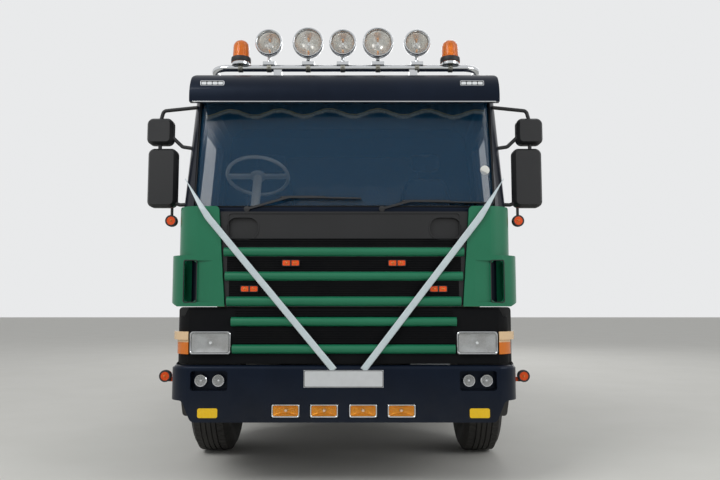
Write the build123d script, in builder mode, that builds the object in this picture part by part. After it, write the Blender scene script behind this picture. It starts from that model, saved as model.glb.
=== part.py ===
from build123d import *
from math import cos, radians, sin
import os

os.makedirs("parts", exist_ok=True)

# A forward-control two-axle rigid truck with a day cab and a dropside flatbed.
# Millimetres. It faces -Y, its left side is +X, the ground is z = 0,
# and the origin lies under the middle of its length.

# Whole vehicle
length = 7900
nose_y = -length / 2
tail_y = length / 2
plate_thickness = 4
face_y = nose_y + plate_thickness  # front face of the bumper
front_axle_setback = 1385
wheelbase = 4450
front_axle_y = face_y + front_axle_setback
rear_axle_y = front_axle_y + wheelbase

# Running clearances
seat_gap = 0.3  # between pieces that seat on each other along a curve
pin_gap = 0.05  # radial, round a pin or spindle
door_gap = 8
board_gap = 10

# Wheels and tyres, 22.5 inch rims
tyre_radius = 522
tyre_width = 296
rim_radius = 286
rim_width = 229
rim_wall = 9
front_wheel_x = 1075
rear_outer_x = 1092
twin_spacing = 334
kingpin_x = 900
kingpin_radius = 25
spindle_radius = 40
rear_spindle_radius = 58
hub_radius = 105
axle_z = tyre_radius

# Chassis
rail_outer_x = 460
rail_width = 75
rail_web = 9
rail_top_z = 1020
rail_height = 250
rail_bottom_z = rail_top_z - rail_height
rail_front_y = face_y + 330
rail_rear_y = tail_y - 120

# Cab
cab_wall = 60
cab_bottom_z = 1200
belt_z = 1850
cant_z = 2770
roof_z = 2860
screen_top_z = 2690
cab_front_depth = 110
cab_back_depth = 1800
cab_back_y = face_y + cab_back_depth
floor_top_z = 1450
pillar_inner_x = 1030
door_front_depth = 360
door_length = 1040
door_bottom_z = 1255
door_top_z = 2690
window_bottom_z = 1890
glass = 6

# Front end
bumper_half = 1195
bumper_top_z = 805
bumper_bottom_z = 578
apron_half = 1055
apron_bottom_z = 440
bumper_wall = 12
corner_setback = 170
corner_run = 125
bumper_side_depth = 400
panel_wall = 25
slat_proud = 34

# Load body
deck_half = 1222
deck_top_z = 1270
deck_floor = 30
bearer_height = 100
deck_front_y = cab_back_y + 110
board_thickness = 28
board_height = 440
hinge_z = 1250
hinge_pin_radius = 7
hinge_knuckle_radius = 14
hinge_width = 40
hinge_offset = 2  # from a board's outer face to its hinge axis
board_foot = 16  # from a hinge axis up to its board
headboard_height = 1050


def mirrored_x(*points):
    """The points of a left half outline followed by their mirror images."""
    return list(points) + [(-x, y) for x, y in reversed(points)]


# The cab hull: a ruled loft through plan outlines.
# height, half width in front, half width behind, depth of front, bulge of front
hull_rows = (
    (cab_bottom_z, 1120, 1215, cab_front_depth, 40),
    (belt_z, 1115, 1215, cab_front_depth, 40),
    (cant_z, 1060, 1135, cab_front_depth + 125, 40),
    (roof_z, 940, 1020, cab_front_depth + 270, 40),
)


def hull(inset, top_drop, bottom_drop=0):
    """The solid inside the cab's outer skin, drawn in by inset."""
    with BuildPart() as body:
        last = len(hull_rows) - 1
        for index, (z, half_front, half_back, depth, bulge) in enumerate(hull_rows):
            height = z
            if index == 0:
                height = z - bottom_drop
            if index == last:
                height = z - top_drop
            if index == last - 1:
                height = z - top_drop / 2
            front = face_y + depth + inset
            back = cab_back_y - inset
            wide_front = half_front - inset
            wide_back = half_back - inset
            if index == last:
                back = cab_back_y - inset - 60
            with BuildSketch(Plane.XY.offset(height)):
                with BuildLine():
                    Line((-wide_front, front), (-wide_back, back))
                    Line((-wide_back, back), (wide_back, back))
                    Line((wide_back, back), (wide_front, front))
                    ThreePointArc((wide_front, front), (0, front - bulge), (-wide_front, front))
                make_face()
                corners = vertices().group_by(Axis.Y)
                fillet(corners[0], 130 - inset)
                fillet(corners[-1], 90 - inset)
        loft(ruled=True)
    return body.part


def slab(x0, x1, y0, y1, z0, z1):
    """A plain block between two corners, for cutting and trimming."""
    block = Box(x1 - x0, y1 - y0, z1 - z0, mode=Mode.PRIVATE)
    return Pos((x0 + x1) / 2, (y0 + y1) / 2, (z0 + z1) / 2) * block


# Distances that reach clear of the cab, and the heights and depth that several panels share
clear_x = 1400
clear_z = 3000
clear_front_y = face_y - 100
clear_back_y = cab_back_y + 100
screen_back_y = face_y + 420
screen_foot_z = belt_z + 10
door_head_z = door_top_z - 60

cab_outer = hull(0, 0)
cab_inner = hull(cab_wall, cab_wall, 10)
cab_space = hull(cab_wall + seat_gap, cab_wall, 20)
glass_outer = hull(20, 20)
glass_inner = hull(20 + glass, 20 + glass, 10)

# Cab panels
door_y0 = face_y + door_front_depth
door_y1 = door_y0 + door_length
side_cut = slab(-clear_x, clear_x, door_y0 - door_gap, door_y1 + door_gap,
                door_bottom_z - door_gap, door_head_z + door_gap)
screen_cut = slab(-pillar_inner_x, pillar_inner_x, clear_front_y, screen_back_y, screen_foot_z, screen_top_z)
front_cut = slab(-pillar_inner_x, pillar_inner_x, clear_front_y, screen_back_y, cab_bottom_z, screen_foot_z)
roof_split_z = screen_top_z
door_hinge_x = 1137
door_hinge_y = door_y0
door_hinge_zs = (1380, 1760)
door_pin_radius = 5
door_knuckle_radius = 11
door_knuckle_height = 34
door_ear_height = 14
door_ear_gap = 5
door_ear_foot = 24
knuckle_room = door_knuckle_radius + 5
ear_middle = door_knuckle_height / 2 + door_ear_gap + door_ear_height / 2
grab_y = door_y1 + 58
grab_x = 1232
grab_z0 = 1400
grab_z1 = 1820
grab_radius = 12
grab_foot = 40
rear_split_y = cab_back_y - cab_wall

with BuildPart() as cab_sides:
    add(cab_outer)
    add(cab_inner, mode=Mode.SUBTRACT)
    add(slab(-clear_x, clear_x, rear_split_y, clear_back_y, 0, clear_z), mode=Mode.SUBTRACT)
    add(slab(-clear_x, clear_x, clear_front_y, cab_back_y, roof_split_z, clear_z), mode=Mode.SUBTRACT)
    add(screen_cut, mode=Mode.SUBTRACT)
    add(front_cut, mode=Mode.SUBTRACT)
    add(side_cut, mode=Mode.SUBTRACT)
    for sign in (1, -1):
        for z in door_hinge_zs:
            with Locations((sign * door_hinge_x, door_hinge_y, z)):
                Cylinder(knuckle_room, door_knuckle_height + 2 * door_ear_gap, mode=Mode.SUBTRACT)
                Cylinder(door_pin_radius, 2 * ear_middle)
            for step in (-1, 1):
                with Locations((sign * door_hinge_x, door_hinge_y, z + step * ear_middle)):
                    Cylinder(door_knuckle_radius, door_ear_height)
                ear_z = z + step * ear_middle
                with Locations((sign * (door_hinge_x - 6), door_hinge_y - door_ear_foot / 2, ear_z)):
                    Box(10, door_ear_foot, door_ear_height)
        with Locations((sign * grab_x, grab_y, (grab_z0 + grab_z1) / 2)):
            Cylinder(grab_radius, grab_z1 - grab_z0)
        for z in (grab_z0 + grab_radius, grab_z1 - grab_radius):
            with Locations(Location((sign * (grab_x - grab_foot / 2), grab_y, z), (0, 90, 0))):
                Cylinder(grab_radius - 2, grab_foot)
cab_sides.part.label = "cab_sides"
export_step(cab_sides.part, "parts/cab_sides.step")

with BuildPart() as cab_roof:
    add(cab_outer)
    add(cab_inner, mode=Mode.SUBTRACT)
    add(slab(-clear_x, clear_x, clear_front_y, rear_split_y, roof_split_z, clear_z), mode=Mode.INTERSECT)
cab_roof.part.label = "cab_roof"
export_step(cab_roof.part, "parts/cab_roof.step")

rear_window_half = 640
rear_window_z0 = 2080
rear_window_z1 = 2560
with BuildPart() as cab_rear_wall:
    add(cab_outer)
    add(slab(-clear_x, clear_x, rear_split_y, clear_back_y, cab_bottom_z, clear_z), mode=Mode.INTERSECT)
    with BuildSketch(Plane.XZ.offset(-cab_back_y - 10)):
        with Locations((0, (rear_window_z0 + rear_window_z1) / 2)):
            RectangleRounded(2 * rear_window_half, rear_window_z1 - rear_window_z0, 60)
    extrude(amount=cab_wall + 200, mode=Mode.SUBTRACT)
cab_rear_wall.part.label = "cab_rear_wall"
export_step(cab_rear_wall.part, "parts/cab_rear_wall.step")

with BuildPart() as cab_front_wall:
    add(cab_outer)
    add(cab_inner, mode=Mode.SUBTRACT)
    add(front_cut, mode=Mode.INTERSECT)
cab_front_wall.part.label = "cab_front_wall"
export_step(cab_front_wall.part, "parts/cab_front_wall.step")

# Floor with its engine tunnel, lying inside the walls
tunnel_half = 400
tunnel_top_z = 1640
floor_thickness = 45
with BuildPart() as cab_floor:
    with BuildSketch(Plane.XZ.offset(-(rear_split_y - seat_gap))):
        with BuildLine():
            Polyline(
                *mirrored_x(
                    (1300, floor_top_z - floor_thickness),
                    (1300, floor_top_z),
                    (tunnel_half, floor_top_z),
                    (tunnel_half - 40, tunnel_top_z),
                ),
                *mirrored_x(
                    (-tunnel_half + floor_thickness, floor_top_z - floor_thickness),
                    (-tunnel_half + 40 + floor_thickness, tunnel_top_z - floor_thickness),
                ),
                close=True,
            )
        make_face()
    extrude(amount=cab_back_depth)
    add(cab_space, mode=Mode.INTERSECT)
cab_floor.part.label = "cab_floor"
export_step(cab_floor.part, "parts/cab_floor.step")

with BuildPart() as cab_glass:
    add(glass_outer)
    add(glass_inner, mode=Mode.SUBTRACT)
    add(slab(-pillar_inner_x + seat_gap, pillar_inner_x - seat_gap, clear_front_y, screen_back_y,
             screen_foot_z + seat_gap, screen_top_z - seat_gap), mode=Mode.INTERSECT)
    with BuildSketch(Plane.XZ.offset(-(cab_back_y - cab_wall / 2))):
        with Locations((0, (rear_window_z0 + rear_window_z1) / 2)):
            RectangleRounded(2 * (rear_window_half - seat_gap),
                             rear_window_z1 - rear_window_z0 - 2 * seat_gap, 60)
    extrude(amount=glass)
cab_glass.part.label = "cab_glass"
export_step(cab_glass.part, "parts/cab_glass.step")

# Doors: a panel with its window frame and handle, and a pane
window_y0 = door_y0 + 90
window_y1 = door_y1 - 70
window_top_z = door_head_z - 90
handle_x = 1184
handle_y = door_y1 - 130
handle_z = 1640
handle_depth = 22
handle_length = 150
handle_height = 60
for side, sign in (("left", 1), ("right", -1)):
    x_low, x_high = sorted((sign * 500, sign * clear_x))
    with BuildPart() as door_panel:
        add(cab_outer)
        add(cab_inner, mode=Mode.SUBTRACT)
        add(slab(x_low, x_high, door_y0, door_y1, door_bottom_z, door_head_z), mode=Mode.INTERSECT)
        with BuildSketch(Plane.YZ):
            with BuildLine():
                FilletPolyline(
                    (window_y0, window_bottom_z),
                    (window_y1, window_bottom_z),
                    (window_y1, window_top_z),
                    (window_y0 + 60, window_top_z),
                    radius=50,
                    close=True,
                )
            make_face()
        extrude(amount=sign * clear_x, mode=Mode.SUBTRACT)
        for z in door_hinge_zs:
            for step in (-1, 1):
                with Locations((sign * door_hinge_x, door_hinge_y, z + step * ear_middle)):
                    Cylinder(knuckle_room, door_ear_height + 2 * door_ear_gap, mode=Mode.SUBTRACT)
            with Locations((sign * (door_hinge_x - 3), door_hinge_y + 36, z)):
                Box(12, 72, door_knuckle_height)
            with Locations((sign * door_hinge_x, door_hinge_y, z)):
                Cylinder(door_knuckle_radius, door_knuckle_height)
                Cylinder(door_pin_radius + pin_gap, door_knuckle_height, mode=Mode.SUBTRACT)
        with Locations((sign * handle_x, handle_y, handle_z)):
            Box(2 * handle_depth, handle_length, handle_height, mode=Mode.SUBTRACT)
            Box(12, handle_length + 2, 20)
    door_panel.part.label = f"door_{side}_panel"
    export_step(door_panel.part, f"parts/door_{side}_panel.step")
    with BuildPart() as door_glass:
        add(glass_outer)
        add(glass_inner, mode=Mode.SUBTRACT)
        with BuildSketch(Plane.YZ):
            with BuildLine():
                FilletPolyline(
                    (window_y0, window_bottom_z),
                    (window_y1, window_bottom_z),
                    (window_y1, window_top_z),
                    (window_y0 + 60, window_top_z),
                    radius=50,
                    close=True,
                )
            make_face()
            offset(amount=-seat_gap)
        extrude(amount=sign * clear_x, mode=Mode.INTERSECT)
    door_glass.part.label = f"door_{side}_glass"
    export_step(door_glass.part, f"parts/door_{side}_glass.step")

# Chassis frame: two channel rails, crossmembers between them, cab mounts and the rear coupling
# place and lower edge of each crossmember
crossmember_rows = (
    (rail_front_y + 40, rail_bottom_z + rail_web),
    (face_y + 2340, 870),
    (face_y + 3300, 870),
    (rear_axle_y - 560, 870),
    (rear_axle_y + 620, rail_bottom_z + rail_web),
    (rail_rear_y - 40, rail_bottom_z + rail_web),
)
rail_inner_x = rail_outer_x - rail_width
coupling_z = 900
coupling_bore = 20
coupling_y = tail_y - 60
# depth behind the bumper's face and length of each cab mount
cab_mount_rows = ((420, 120), (1690, 80))
with BuildPart() as chassis_frame:
    for sign in (1, -1):
        with BuildSketch(Plane.XZ.offset(-rail_rear_y)):
            with Locations((sign * (rail_outer_x + rail_inner_x) / 2, (rail_top_z + rail_bottom_z) / 2)):
                Rectangle(rail_width, rail_height)
            with Locations((sign * (rail_outer_x + rail_inner_x) / 2 - sign * rail_web,
                            (rail_top_z + rail_bottom_z) / 2)):
                Rectangle(rail_width, rail_height - 2 * rail_web, mode=Mode.SUBTRACT)
        extrude(amount=rail_rear_y - rail_front_y)
    for y, low_z in crossmember_rows:
        high_z = rail_top_z - rail_web - seat_gap
        with Locations((0, y, (low_z + seat_gap + high_z) / 2)):
            Box(2 * (rail_outer_x - rail_web - seat_gap), 60, high_z - low_z - seat_gap)
            Box(2 * (rail_outer_x - rail_web - seat_gap), 48, high_z - low_z - 40, mode=Mode.SUBTRACT)
    for sign in (1, -1):
        for depth, reach in cab_mount_rows:
            with Locations((sign * (rail_outer_x - rail_width / 2), face_y + depth,
                            (rail_top_z + floor_top_z - floor_thickness) / 2)):
                Box(rail_width - 20, reach, floor_top_z - floor_thickness - rail_top_z)
    with Locations((0, rail_rear_y + 14, coupling_z)):
        Box(180, 52, 110)
    with Locations((0, coupling_y, coupling_z)):
        Cylinder(coupling_bore + 25, 90)
        Cylinder(coupling_bore, 90, mode=Mode.SUBTRACT)
chassis_frame.part.label = "chassis_frame"
export_step(chassis_frame.part, "parts/chassis_frame.step")

# Engine with gearbox and shaft: one plain block each, carried between the rails
engine_y0 = face_y + 560
engine_y1 = face_y + 1560
shaft_radius = 45
with BuildPart() as engine:
    with BuildSketch(Plane.XZ.offset(-engine_y1)):
        Polygon(*mirrored_x((340, 1080), (340, 1440), (240, 1500)), *mirrored_x(
            (-300, 1040), (-300, 800), (-220, 560)), align=None)
    extrude(amount=engine_y1 - engine_y0)
    with Locations((0, (engine_y0 + engine_y1) / 2, 880)):
        Box(2 * rail_inner_x, 160, 140)
    with BuildSketch(Plane.XZ.offset(-engine_y1)):
        with Locations((0, 800)):
            Circle(230)
    extrude(amount=-150)
    with BuildSketch(Plane.XZ.offset(-engine_y1 - 150)):
        with Locations((0, 770)):
            Circle(170)
    extrude(amount=-560, taper=5)
engine.part.label = "engine"
export_step(engine.part, "parts/engine.step")

# Axles
knuckle_eye_height = 120
beam_drop_z = 400
spring_x = 425
spring_width = 72
spring_thickness = 56
with BuildPart() as front_axle:
    with BuildSketch(Plane.XZ.offset(-front_axle_y - 45)):
        with BuildLine():
            FilletPolyline(
                (kingpin_x, axle_z + 45),
                (kingpin_x - 70, axle_z + 45),
                (spring_x + 180, beam_drop_z + 95),
                (-spring_x - 180, beam_drop_z + 95),
                (-kingpin_x + 70, axle_z + 45),
                (-kingpin_x, axle_z + 45),
                (-kingpin_x, axle_z - 45),
                (-kingpin_x + 90, axle_z - 45),
                (-spring_x - 150, beam_drop_z),
                (spring_x + 150, beam_drop_z),
                (kingpin_x - 90, axle_z - 45),
                (kingpin_x, axle_z - 45),
                radius=12,
                close=True,
            )
        make_face()
    extrude(amount=90)
    with Locations(*[(sign * kingpin_x, front_axle_y, axle_z) for sign in (1, -1)]):
        Cylinder(52, knuckle_eye_height)
        Cylinder(kingpin_radius + pin_gap, knuckle_eye_height, mode=Mode.SUBTRACT)
front_axle.part.label = "front_axle"
export_step(front_axle.part, "parts/front_axle.step")

rear_tube_radius = 70
rear_inner_face_x = rear_outer_x - twin_spacing - tyre_width / 2
rear_spindle_end_x = rear_outer_x + 20
rear_axle_plane = Plane(origin=(0, rear_axle_y, axle_z), x_dir=(1, 0, 0), z_dir=(0, -1, 0))
with BuildPart() as rear_axle:
    with BuildSketch(rear_axle_plane):
        with BuildLine():
            Polyline(
                (-rear_spindle_end_x, 0),
                (-rear_spindle_end_x, rear_spindle_radius),
                (-rear_inner_face_x - 60, rear_spindle_radius),
                (-rear_inner_face_x, rear_tube_radius),
                (-330, rear_tube_radius),
                (-200, 190),
                (200, 190),
                (330, rear_tube_radius),
                (rear_inner_face_x, rear_tube_radius),
                (rear_inner_face_x + 60, rear_spindle_radius),
                (rear_spindle_end_x, rear_spindle_radius),
                (rear_spindle_end_x, 0),
                close=True,
            )
        make_face()
    revolve(axis=Axis((0, rear_axle_y, axle_z), (1, 0, 0)))
rear_axle.part.label = "rear_axle"
export_step(rear_axle.part, "parts/rear_axle.step")

shaft_y0 = engine_y1 + 150 + 560
with BuildPart() as propshaft:
    with BuildSketch(Plane.XZ.offset(-shaft_y0)):
        with Locations((0, 770)):
            Circle(shaft_radius)
    with BuildSketch(Plane.XZ.offset(-(rear_axle_y - 190))):
        with Locations((0, axle_z)):
            Circle(shaft_radius)
    loft()
propshaft.part.label = "propshaft"
export_step(propshaft.part, "parts/propshaft.step")

# Leaf springs with their hangers, one pair to an axle
# axle place, half span, height of the seat on the axle
spring_rows = (
    (front_axle_y, 700, beam_drop_z + 95),
    (rear_axle_y, 760, axle_z + rear_tube_radius),
)
with BuildPart() as springs:
    for axle_place, half_span, seat_z in spring_rows:
        eye_z = rail_bottom_z - 60
        for sign in (1, -1):
            with BuildSketch(Plane.YZ.offset(sign * spring_x - spring_width / 2)):
                with BuildLine():
                    ThreePointArc(
                        (axle_place - half_span, eye_z),
                        (axle_place, seat_z),
                        (axle_place + half_span, eye_z),
                    )
                    Line((axle_place + half_span, eye_z), (axle_place + half_span, eye_z + 16))
                    ThreePointArc(
                        (axle_place + half_span, eye_z + 16),
                        (axle_place, seat_z + spring_thickness),
                        (axle_place - half_span, eye_z + 16),
                    )
                    Line((axle_place - half_span, eye_z + 16), (axle_place - half_span, eye_z))
                make_face()
            extrude(amount=spring_width)
            for end in (-1, 1):
                with Locations((sign * spring_x, axle_place + end * half_span,
                                (eye_z - 30 + rail_bottom_z) / 2)):
                    Box(spring_width, 90, rail_bottom_z - eye_z + 30)
springs.part.label = "springs"
export_step(springs.part, "parts/springs.step")

# Steering knuckles: a yoke round the axle's eye, its pin, the spindle and the brake backplate
lug_thickness = 46
lug_gap = 3
spindle_end_x = front_wheel_x + 95
for side, sign in (("left", 1), ("right", -1)):
    wheel_axis = Axis((0, front_axle_y, axle_z), (1, 0, 0))
    wheel_plane = Plane(origin=(0, front_axle_y, axle_z), x_dir=(1, 0, 0), z_dir=(0, -1, 0))
    lug_z = knuckle_eye_height / 2 + lug_gap + lug_thickness / 2
    with BuildPart() as knuckle:
        with Locations((sign * kingpin_x, front_axle_y, axle_z)):
            Cylinder(kingpin_radius, knuckle_eye_height + 2 * lug_gap + 2 * lug_thickness)
        for level in (1, -1):
            with BuildSketch(Plane.XY.offset(axle_z + level * lug_z - lug_thickness / 2)):
                with Locations((sign * kingpin_x, front_axle_y)):
                    Circle(52)
                with Locations((sign * (kingpin_x + 47), front_axle_y)):
                    Rectangle(94, 90)
            extrude(amount=lug_thickness)
        with Locations((sign * (kingpin_x + 77), front_axle_y, axle_z)):
            Box(34, 90, 2 * lug_z + lug_thickness)
        with BuildSketch(wheel_plane):
            with BuildLine():
                Polyline(
                    (sign * (kingpin_x + 64), 0),
                    (sign * (kingpin_x + 64), 60),
                    (sign * (kingpin_x + 86), 60),
                    (sign * (kingpin_x + 86), 190),
                    (sign * (kingpin_x + 98), 190),
                    (sign * (kingpin_x + 98), spindle_radius),
                    (sign * spindle_end_x, spindle_radius),
                    (sign * spindle_end_x, 0),
                    close=True,
                )
            make_face()
        revolve(axis=wheel_axis)
    knuckle.part.label = f"knuckle_{side}"
    export_step(knuckle.part, f"parts/knuckle_{side}.step")


def tyre_face(centre_x):
    """Half a tyre's section above the axle, bead to bead over the tread."""
    half = tyre_width / 2
    bead = rim_width / 2 - rim_wall - 1
    inner = rim_radius + seat_gap
    with BuildSketch() as section:
        with BuildLine():
            Line((centre_x - bead, inner), (centre_x + bead, inner))
            Line((centre_x + bead, inner), (centre_x + bead, inner + 18))
            ThreePointArc(
                (centre_x + bead, inner + 18),
                (centre_x + half, (inner + tyre_radius) / 2 + 12),
                (centre_x + half - 16, tyre_radius - 38),
            )
            Line((centre_x + half - 16, tyre_radius - 38), (centre_x + half - 34, tyre_radius - 5))
            ThreePointArc(
                (centre_x + half - 34, tyre_radius - 5),
                (centre_x, tyre_radius),
                (centre_x - half + 34, tyre_radius - 5),
            )
            Line((centre_x - half + 34, tyre_radius - 5), (centre_x - half + 16, tyre_radius - 38))
            ThreePointArc(
                (centre_x - half + 16, tyre_radius - 38),
                (centre_x - half, (inner + tyre_radius) / 2 + 12),
                (centre_x - bead, inner + 18),
            )
            Line((centre_x - bead, inner + 18), (centre_x - bead, inner))
        make_face()
    return section.sketch


def rim_face(centre_x):
    """A rim's section: the barrel with its flanges and well."""
    half = rim_width / 2
    well = rim_radius - 34
    with BuildSketch() as section:
        with BuildLine():
            Polyline(
                (centre_x - half, rim_radius + 12),
                (centre_x - half + rim_wall, rim_radius + 12),
                (centre_x - half + rim_wall, rim_radius),
                (centre_x - half + 45, rim_radius),
                (centre_x - half + 60, well),
                (centre_x + half - 60, well),
                (centre_x + half - 45, rim_radius),
                (centre_x + half - rim_wall, rim_radius),
                (centre_x + half - rim_wall, rim_radius + 12),
                (centre_x + half, rim_radius + 12),
                (centre_x + half, rim_radius - rim_wall),
                (centre_x + half - 38, rim_radius - rim_wall),
                (centre_x + half - 52, well - rim_wall),
                (centre_x - half + 52, well - rim_wall),
                (centre_x - half + 38, rim_radius - rim_wall),
                (centre_x - half, rim_radius - rim_wall),
                close=True,
            )
        make_face()
    return section.sketch


def disc_face(centre_x, sign, disc_offset, bore):
    """A wheel disc's section, from the rim's well to its flange on the hub."""
    disc_x = centre_x + disc_offset
    well = rim_radius - 34
    with BuildSketch() as section:
        with BuildLine():
            Polyline(
                (centre_x + sign * 20, well - 2),
                (centre_x + sign * 34, well - 2),
                (disc_x + sign * 12, 175),
                (disc_x + sign * 12, bore),
                (disc_x, bore),
                (disc_x, 175),
                close=True,
            )
        make_face()
    return section.sketch


# Front wheels, with discs that bulge outwards
hand_hole_radius = 26
hand_hole_circle = 205
for side, sign in (("left", 1), ("right", -1)):
    centre_x = sign * front_wheel_x
    wheel_axis = Axis((0, front_axle_y, axle_z), (1, 0, 0))
    wheel_plane = Plane(origin=(0, front_axle_y, axle_z), x_dir=(1, 0, 0), z_dir=(0, -1, 0))
    side_plane = Plane(origin=(centre_x, front_axle_y, axle_z), x_dir=(0, 1, 0), z_dir=(1, 0, 0))
    with BuildPart() as tyre:
        with BuildSketch(wheel_plane):
            add(tyre_face(centre_x))
        revolve(axis=wheel_axis)
    tyre.part.label = f"front_{side}_tyre"
    export_step(tyre.part, f"parts/front_{side}_tyre.step")
    with BuildPart() as rim:
        with BuildSketch(wheel_plane):
            add(rim_face(centre_x))
        revolve(axis=wheel_axis)
        with BuildSketch(wheel_plane):
            add(disc_face(centre_x, sign, sign * 95, spindle_radius + 20))
        revolve(axis=wheel_axis)
        with BuildSketch(wheel_plane):
            with BuildLine():
                Polyline(
                    (centre_x + sign * -70, spindle_radius + pin_gap),
                    (centre_x + sign * -70, 120),
                    (centre_x + sign * 40, 120),
                    (centre_x + sign * 96, hub_radius),
                    (centre_x + sign * 125, 85),
                    (centre_x + sign * 125, 0),
                    (centre_x + sign * 103, 0),
                    (centre_x + sign * 103, spindle_radius + pin_gap),
                    close=True,
                )
            make_face()
        revolve(axis=wheel_axis)
        with BuildSketch(side_plane):
            with PolarLocations(hand_hole_circle, 10):
                Circle(hand_hole_radius)
        extrude(amount=130, both=True, mode=Mode.SUBTRACT)
    rim.part.label = f"front_{side}_rim"
    export_step(rim.part, f"parts/front_{side}_rim.step")

# Rear twin wheels, with discs that meet between the pair
for side, sign in (("left", 1), ("right", -1)):
    wheel_axis = Axis((0, rear_axle_y, axle_z), (1, 0, 0))
    wheel_plane = Plane(origin=(0, rear_axle_y, axle_z), x_dir=(1, 0, 0), z_dir=(0, -1, 0))
    outer_x = sign * rear_outer_x
    inner_x = sign * (rear_outer_x - twin_spacing)
    middle_x = (outer_x + inner_x) / 2
    side_plane = Plane(origin=(middle_x, rear_axle_y, axle_z), x_dir=(0, 1, 0), z_dir=(1, 0, 0))
    with BuildPart() as tyres:
        for centre_x in (outer_x, inner_x):
            with BuildSketch(wheel_plane):
                add(tyre_face(centre_x))
            revolve(axis=wheel_axis)
    tyres.part.label = f"rear_{side}_tyres"
    export_step(tyres.part, f"parts/rear_{side}_tyres.step")
    with BuildPart() as rims:
        for centre_x, way in ((outer_x, -sign), (inner_x, sign)):
            with BuildSketch(wheel_plane):
                add(rim_face(centre_x))
            revolve(axis=wheel_axis)
            with BuildSketch(wheel_plane):
                add(disc_face(centre_x, way, middle_x - centre_x - way * 12, rear_spindle_radius + 20))
            revolve(axis=wheel_axis)
        with BuildSketch(wheel_plane):
            with BuildLine():
                Polyline(
                    (inner_x - sign * 60, rear_spindle_radius + pin_gap),
                    (inner_x - sign * 60, 150),
                    (middle_x - sign * 30, 150),
                    (middle_x + sign * 40, 140),
                    (outer_x + sign * 20, 130),
                    (outer_x + sign * 60, 110),
                    (outer_x + sign * 60, 0),
                    (outer_x + sign * 26, 0),
                    (outer_x + sign * 26, rear_spindle_radius + pin_gap),
                    close=True,
                )
            make_face()
        revolve(axis=wheel_axis)
        with BuildSketch(side_plane):
            with PolarLocations(hand_hole_circle, 10):
                Circle(hand_hole_radius)
        extrude(amount=60, both=True, mode=Mode.SUBTRACT)
    rims.part.label = f"rear_{side}_rims"
    export_step(rims.part, f"parts/rear_{side}_rims.step")

# Front mudguards, rear mudguards and the entry steps, all hung from the frame
front_guard_radius = 650
rear_guard_radius = 572
guard_wall = 6
# axle place, inner radius, inner and outer x, end height
guard_rows = (
    (front_axle_y, front_guard_radius, 700, 1200, 900),
    (rear_axle_y, rear_guard_radius, 600, deck_half + 14, 700),
)
with BuildPart() as mudguards:
    for axle_place, radius, inner_x, outer_x, end_z in guard_rows:
        for sign in (1, -1):
            with BuildSketch(Plane.YZ.offset(min(sign * inner_x, sign * outer_x))):
                with Locations((axle_place, axle_z)):
                    Circle(radius + guard_wall)
                    Circle(radius, mode=Mode.SUBTRACT)
                with Locations((axle_place, end_z - 1000)):
                    Rectangle(2600, 2000, mode=Mode.SUBTRACT)
            extrude(amount=outer_x - inner_x)
            with Locations((sign * (rail_outer_x + inner_x + 8) / 2, axle_place, axle_z + radius + 3)):
                Box(inner_x - rail_outer_x + 8, 50, 6)
            with Locations((sign * (rail_outer_x + 4), axle_place, (rail_top_z - 60 + axle_z + radius) / 2)):
                Box(8, 50, axle_z + radius + 6 - rail_top_z + 60)
mudguards.part.label = "mudguards"
export_step(mudguards.part, "parts/mudguards.step")

step_y0 = face_y + bumper_side_depth + 6
step_y1 = face_y + 735
step_inner_x = 800
step_outer_x = 1185
step_top_z = 1185
# floor and top of each tread opening
step_rows = ((460, 730), (800, 1120))
with BuildPart() as entry_steps:
    for sign in (1, -1):
        with BuildSketch(Plane.XZ.offset(-step_y1)):
            with BuildLine():
                FilletPolyline(
                    (sign * step_inner_x, step_top_z),
                    (sign * step_inner_x, 420),
                    (sign * (step_outer_x - 40), 420),
                    (sign * step_outer_x, 700),
                    (sign * step_outer_x, step_top_z),
                    radius=25,
                    close=True,
                )
            make_face()
        extrude(amount=step_y1 - step_y0)
        for z0, z1 in step_rows:
            with Locations((sign * (step_outer_x - 80), (step_y0 + step_y1) / 2, (z0 + z1) / 2)):
                Box(260, step_y1 - step_y0 - 24, z1 - z0, mode=Mode.SUBTRACT)
        with Locations((sign * (rail_outer_x + step_inner_x) / 2, (step_y0 + step_y1) / 2, 900)):
            Box(step_inner_x - rail_outer_x, 60, 60)
entry_steps.part.label = "entry_steps"
export_step(entry_steps.part, "parts/entry_steps.step")

# Tanks, boxes and guards along the frame
tank_y0 = face_y + 2500
tank_y1 = face_y + 3500
with BuildPart() as fuel_tank:
    with BuildSketch(Plane.XZ.offset(-tank_y1)):
        with Locations(((rail_outer_x + 60 + 1160) / 2, 690)):
            RectangleRounded(1160 - rail_outer_x - 60, 540, 110)
    extrude(amount=tank_y1 - tank_y0)
    for y in (tank_y0 + 180, tank_y1 - 180):
        with Locations((rail_outer_x + 35, y, 760)):
            Box(70, 60, 360)
fuel_tank.part.label = "fuel_tank"
export_step(fuel_tank.part, "parts/fuel_tank.step")

with BuildPart() as chassis_boxes:
    with Locations((-(rail_outer_x + 60 + 1160) / 2, face_y + 2550, 740)):
        Box(1160 - rail_outer_x - 60, 620, 420)
    with Locations((-(rail_outer_x + 30), face_y + 2550, 850)):
        Box(60, 300, 120)
    with Locations(*[Location((-(rail_outer_x + 170), face_y + 3300, z), (90, 0, 0)) for z in (640, 900)]):
        Cylinder(120, 760)
    with Locations((-(rail_outer_x + 30), face_y + 3300, 770)):
        Box(60, 120, 380)
    with Locations((-(rail_outer_x + 120), face_y + 3300, 770)):
        Box(180, 60, 100)
chassis_boxes.part.label = "chassis_boxes"
export_step(chassis_boxes.part, "parts/chassis_boxes.step")

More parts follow.
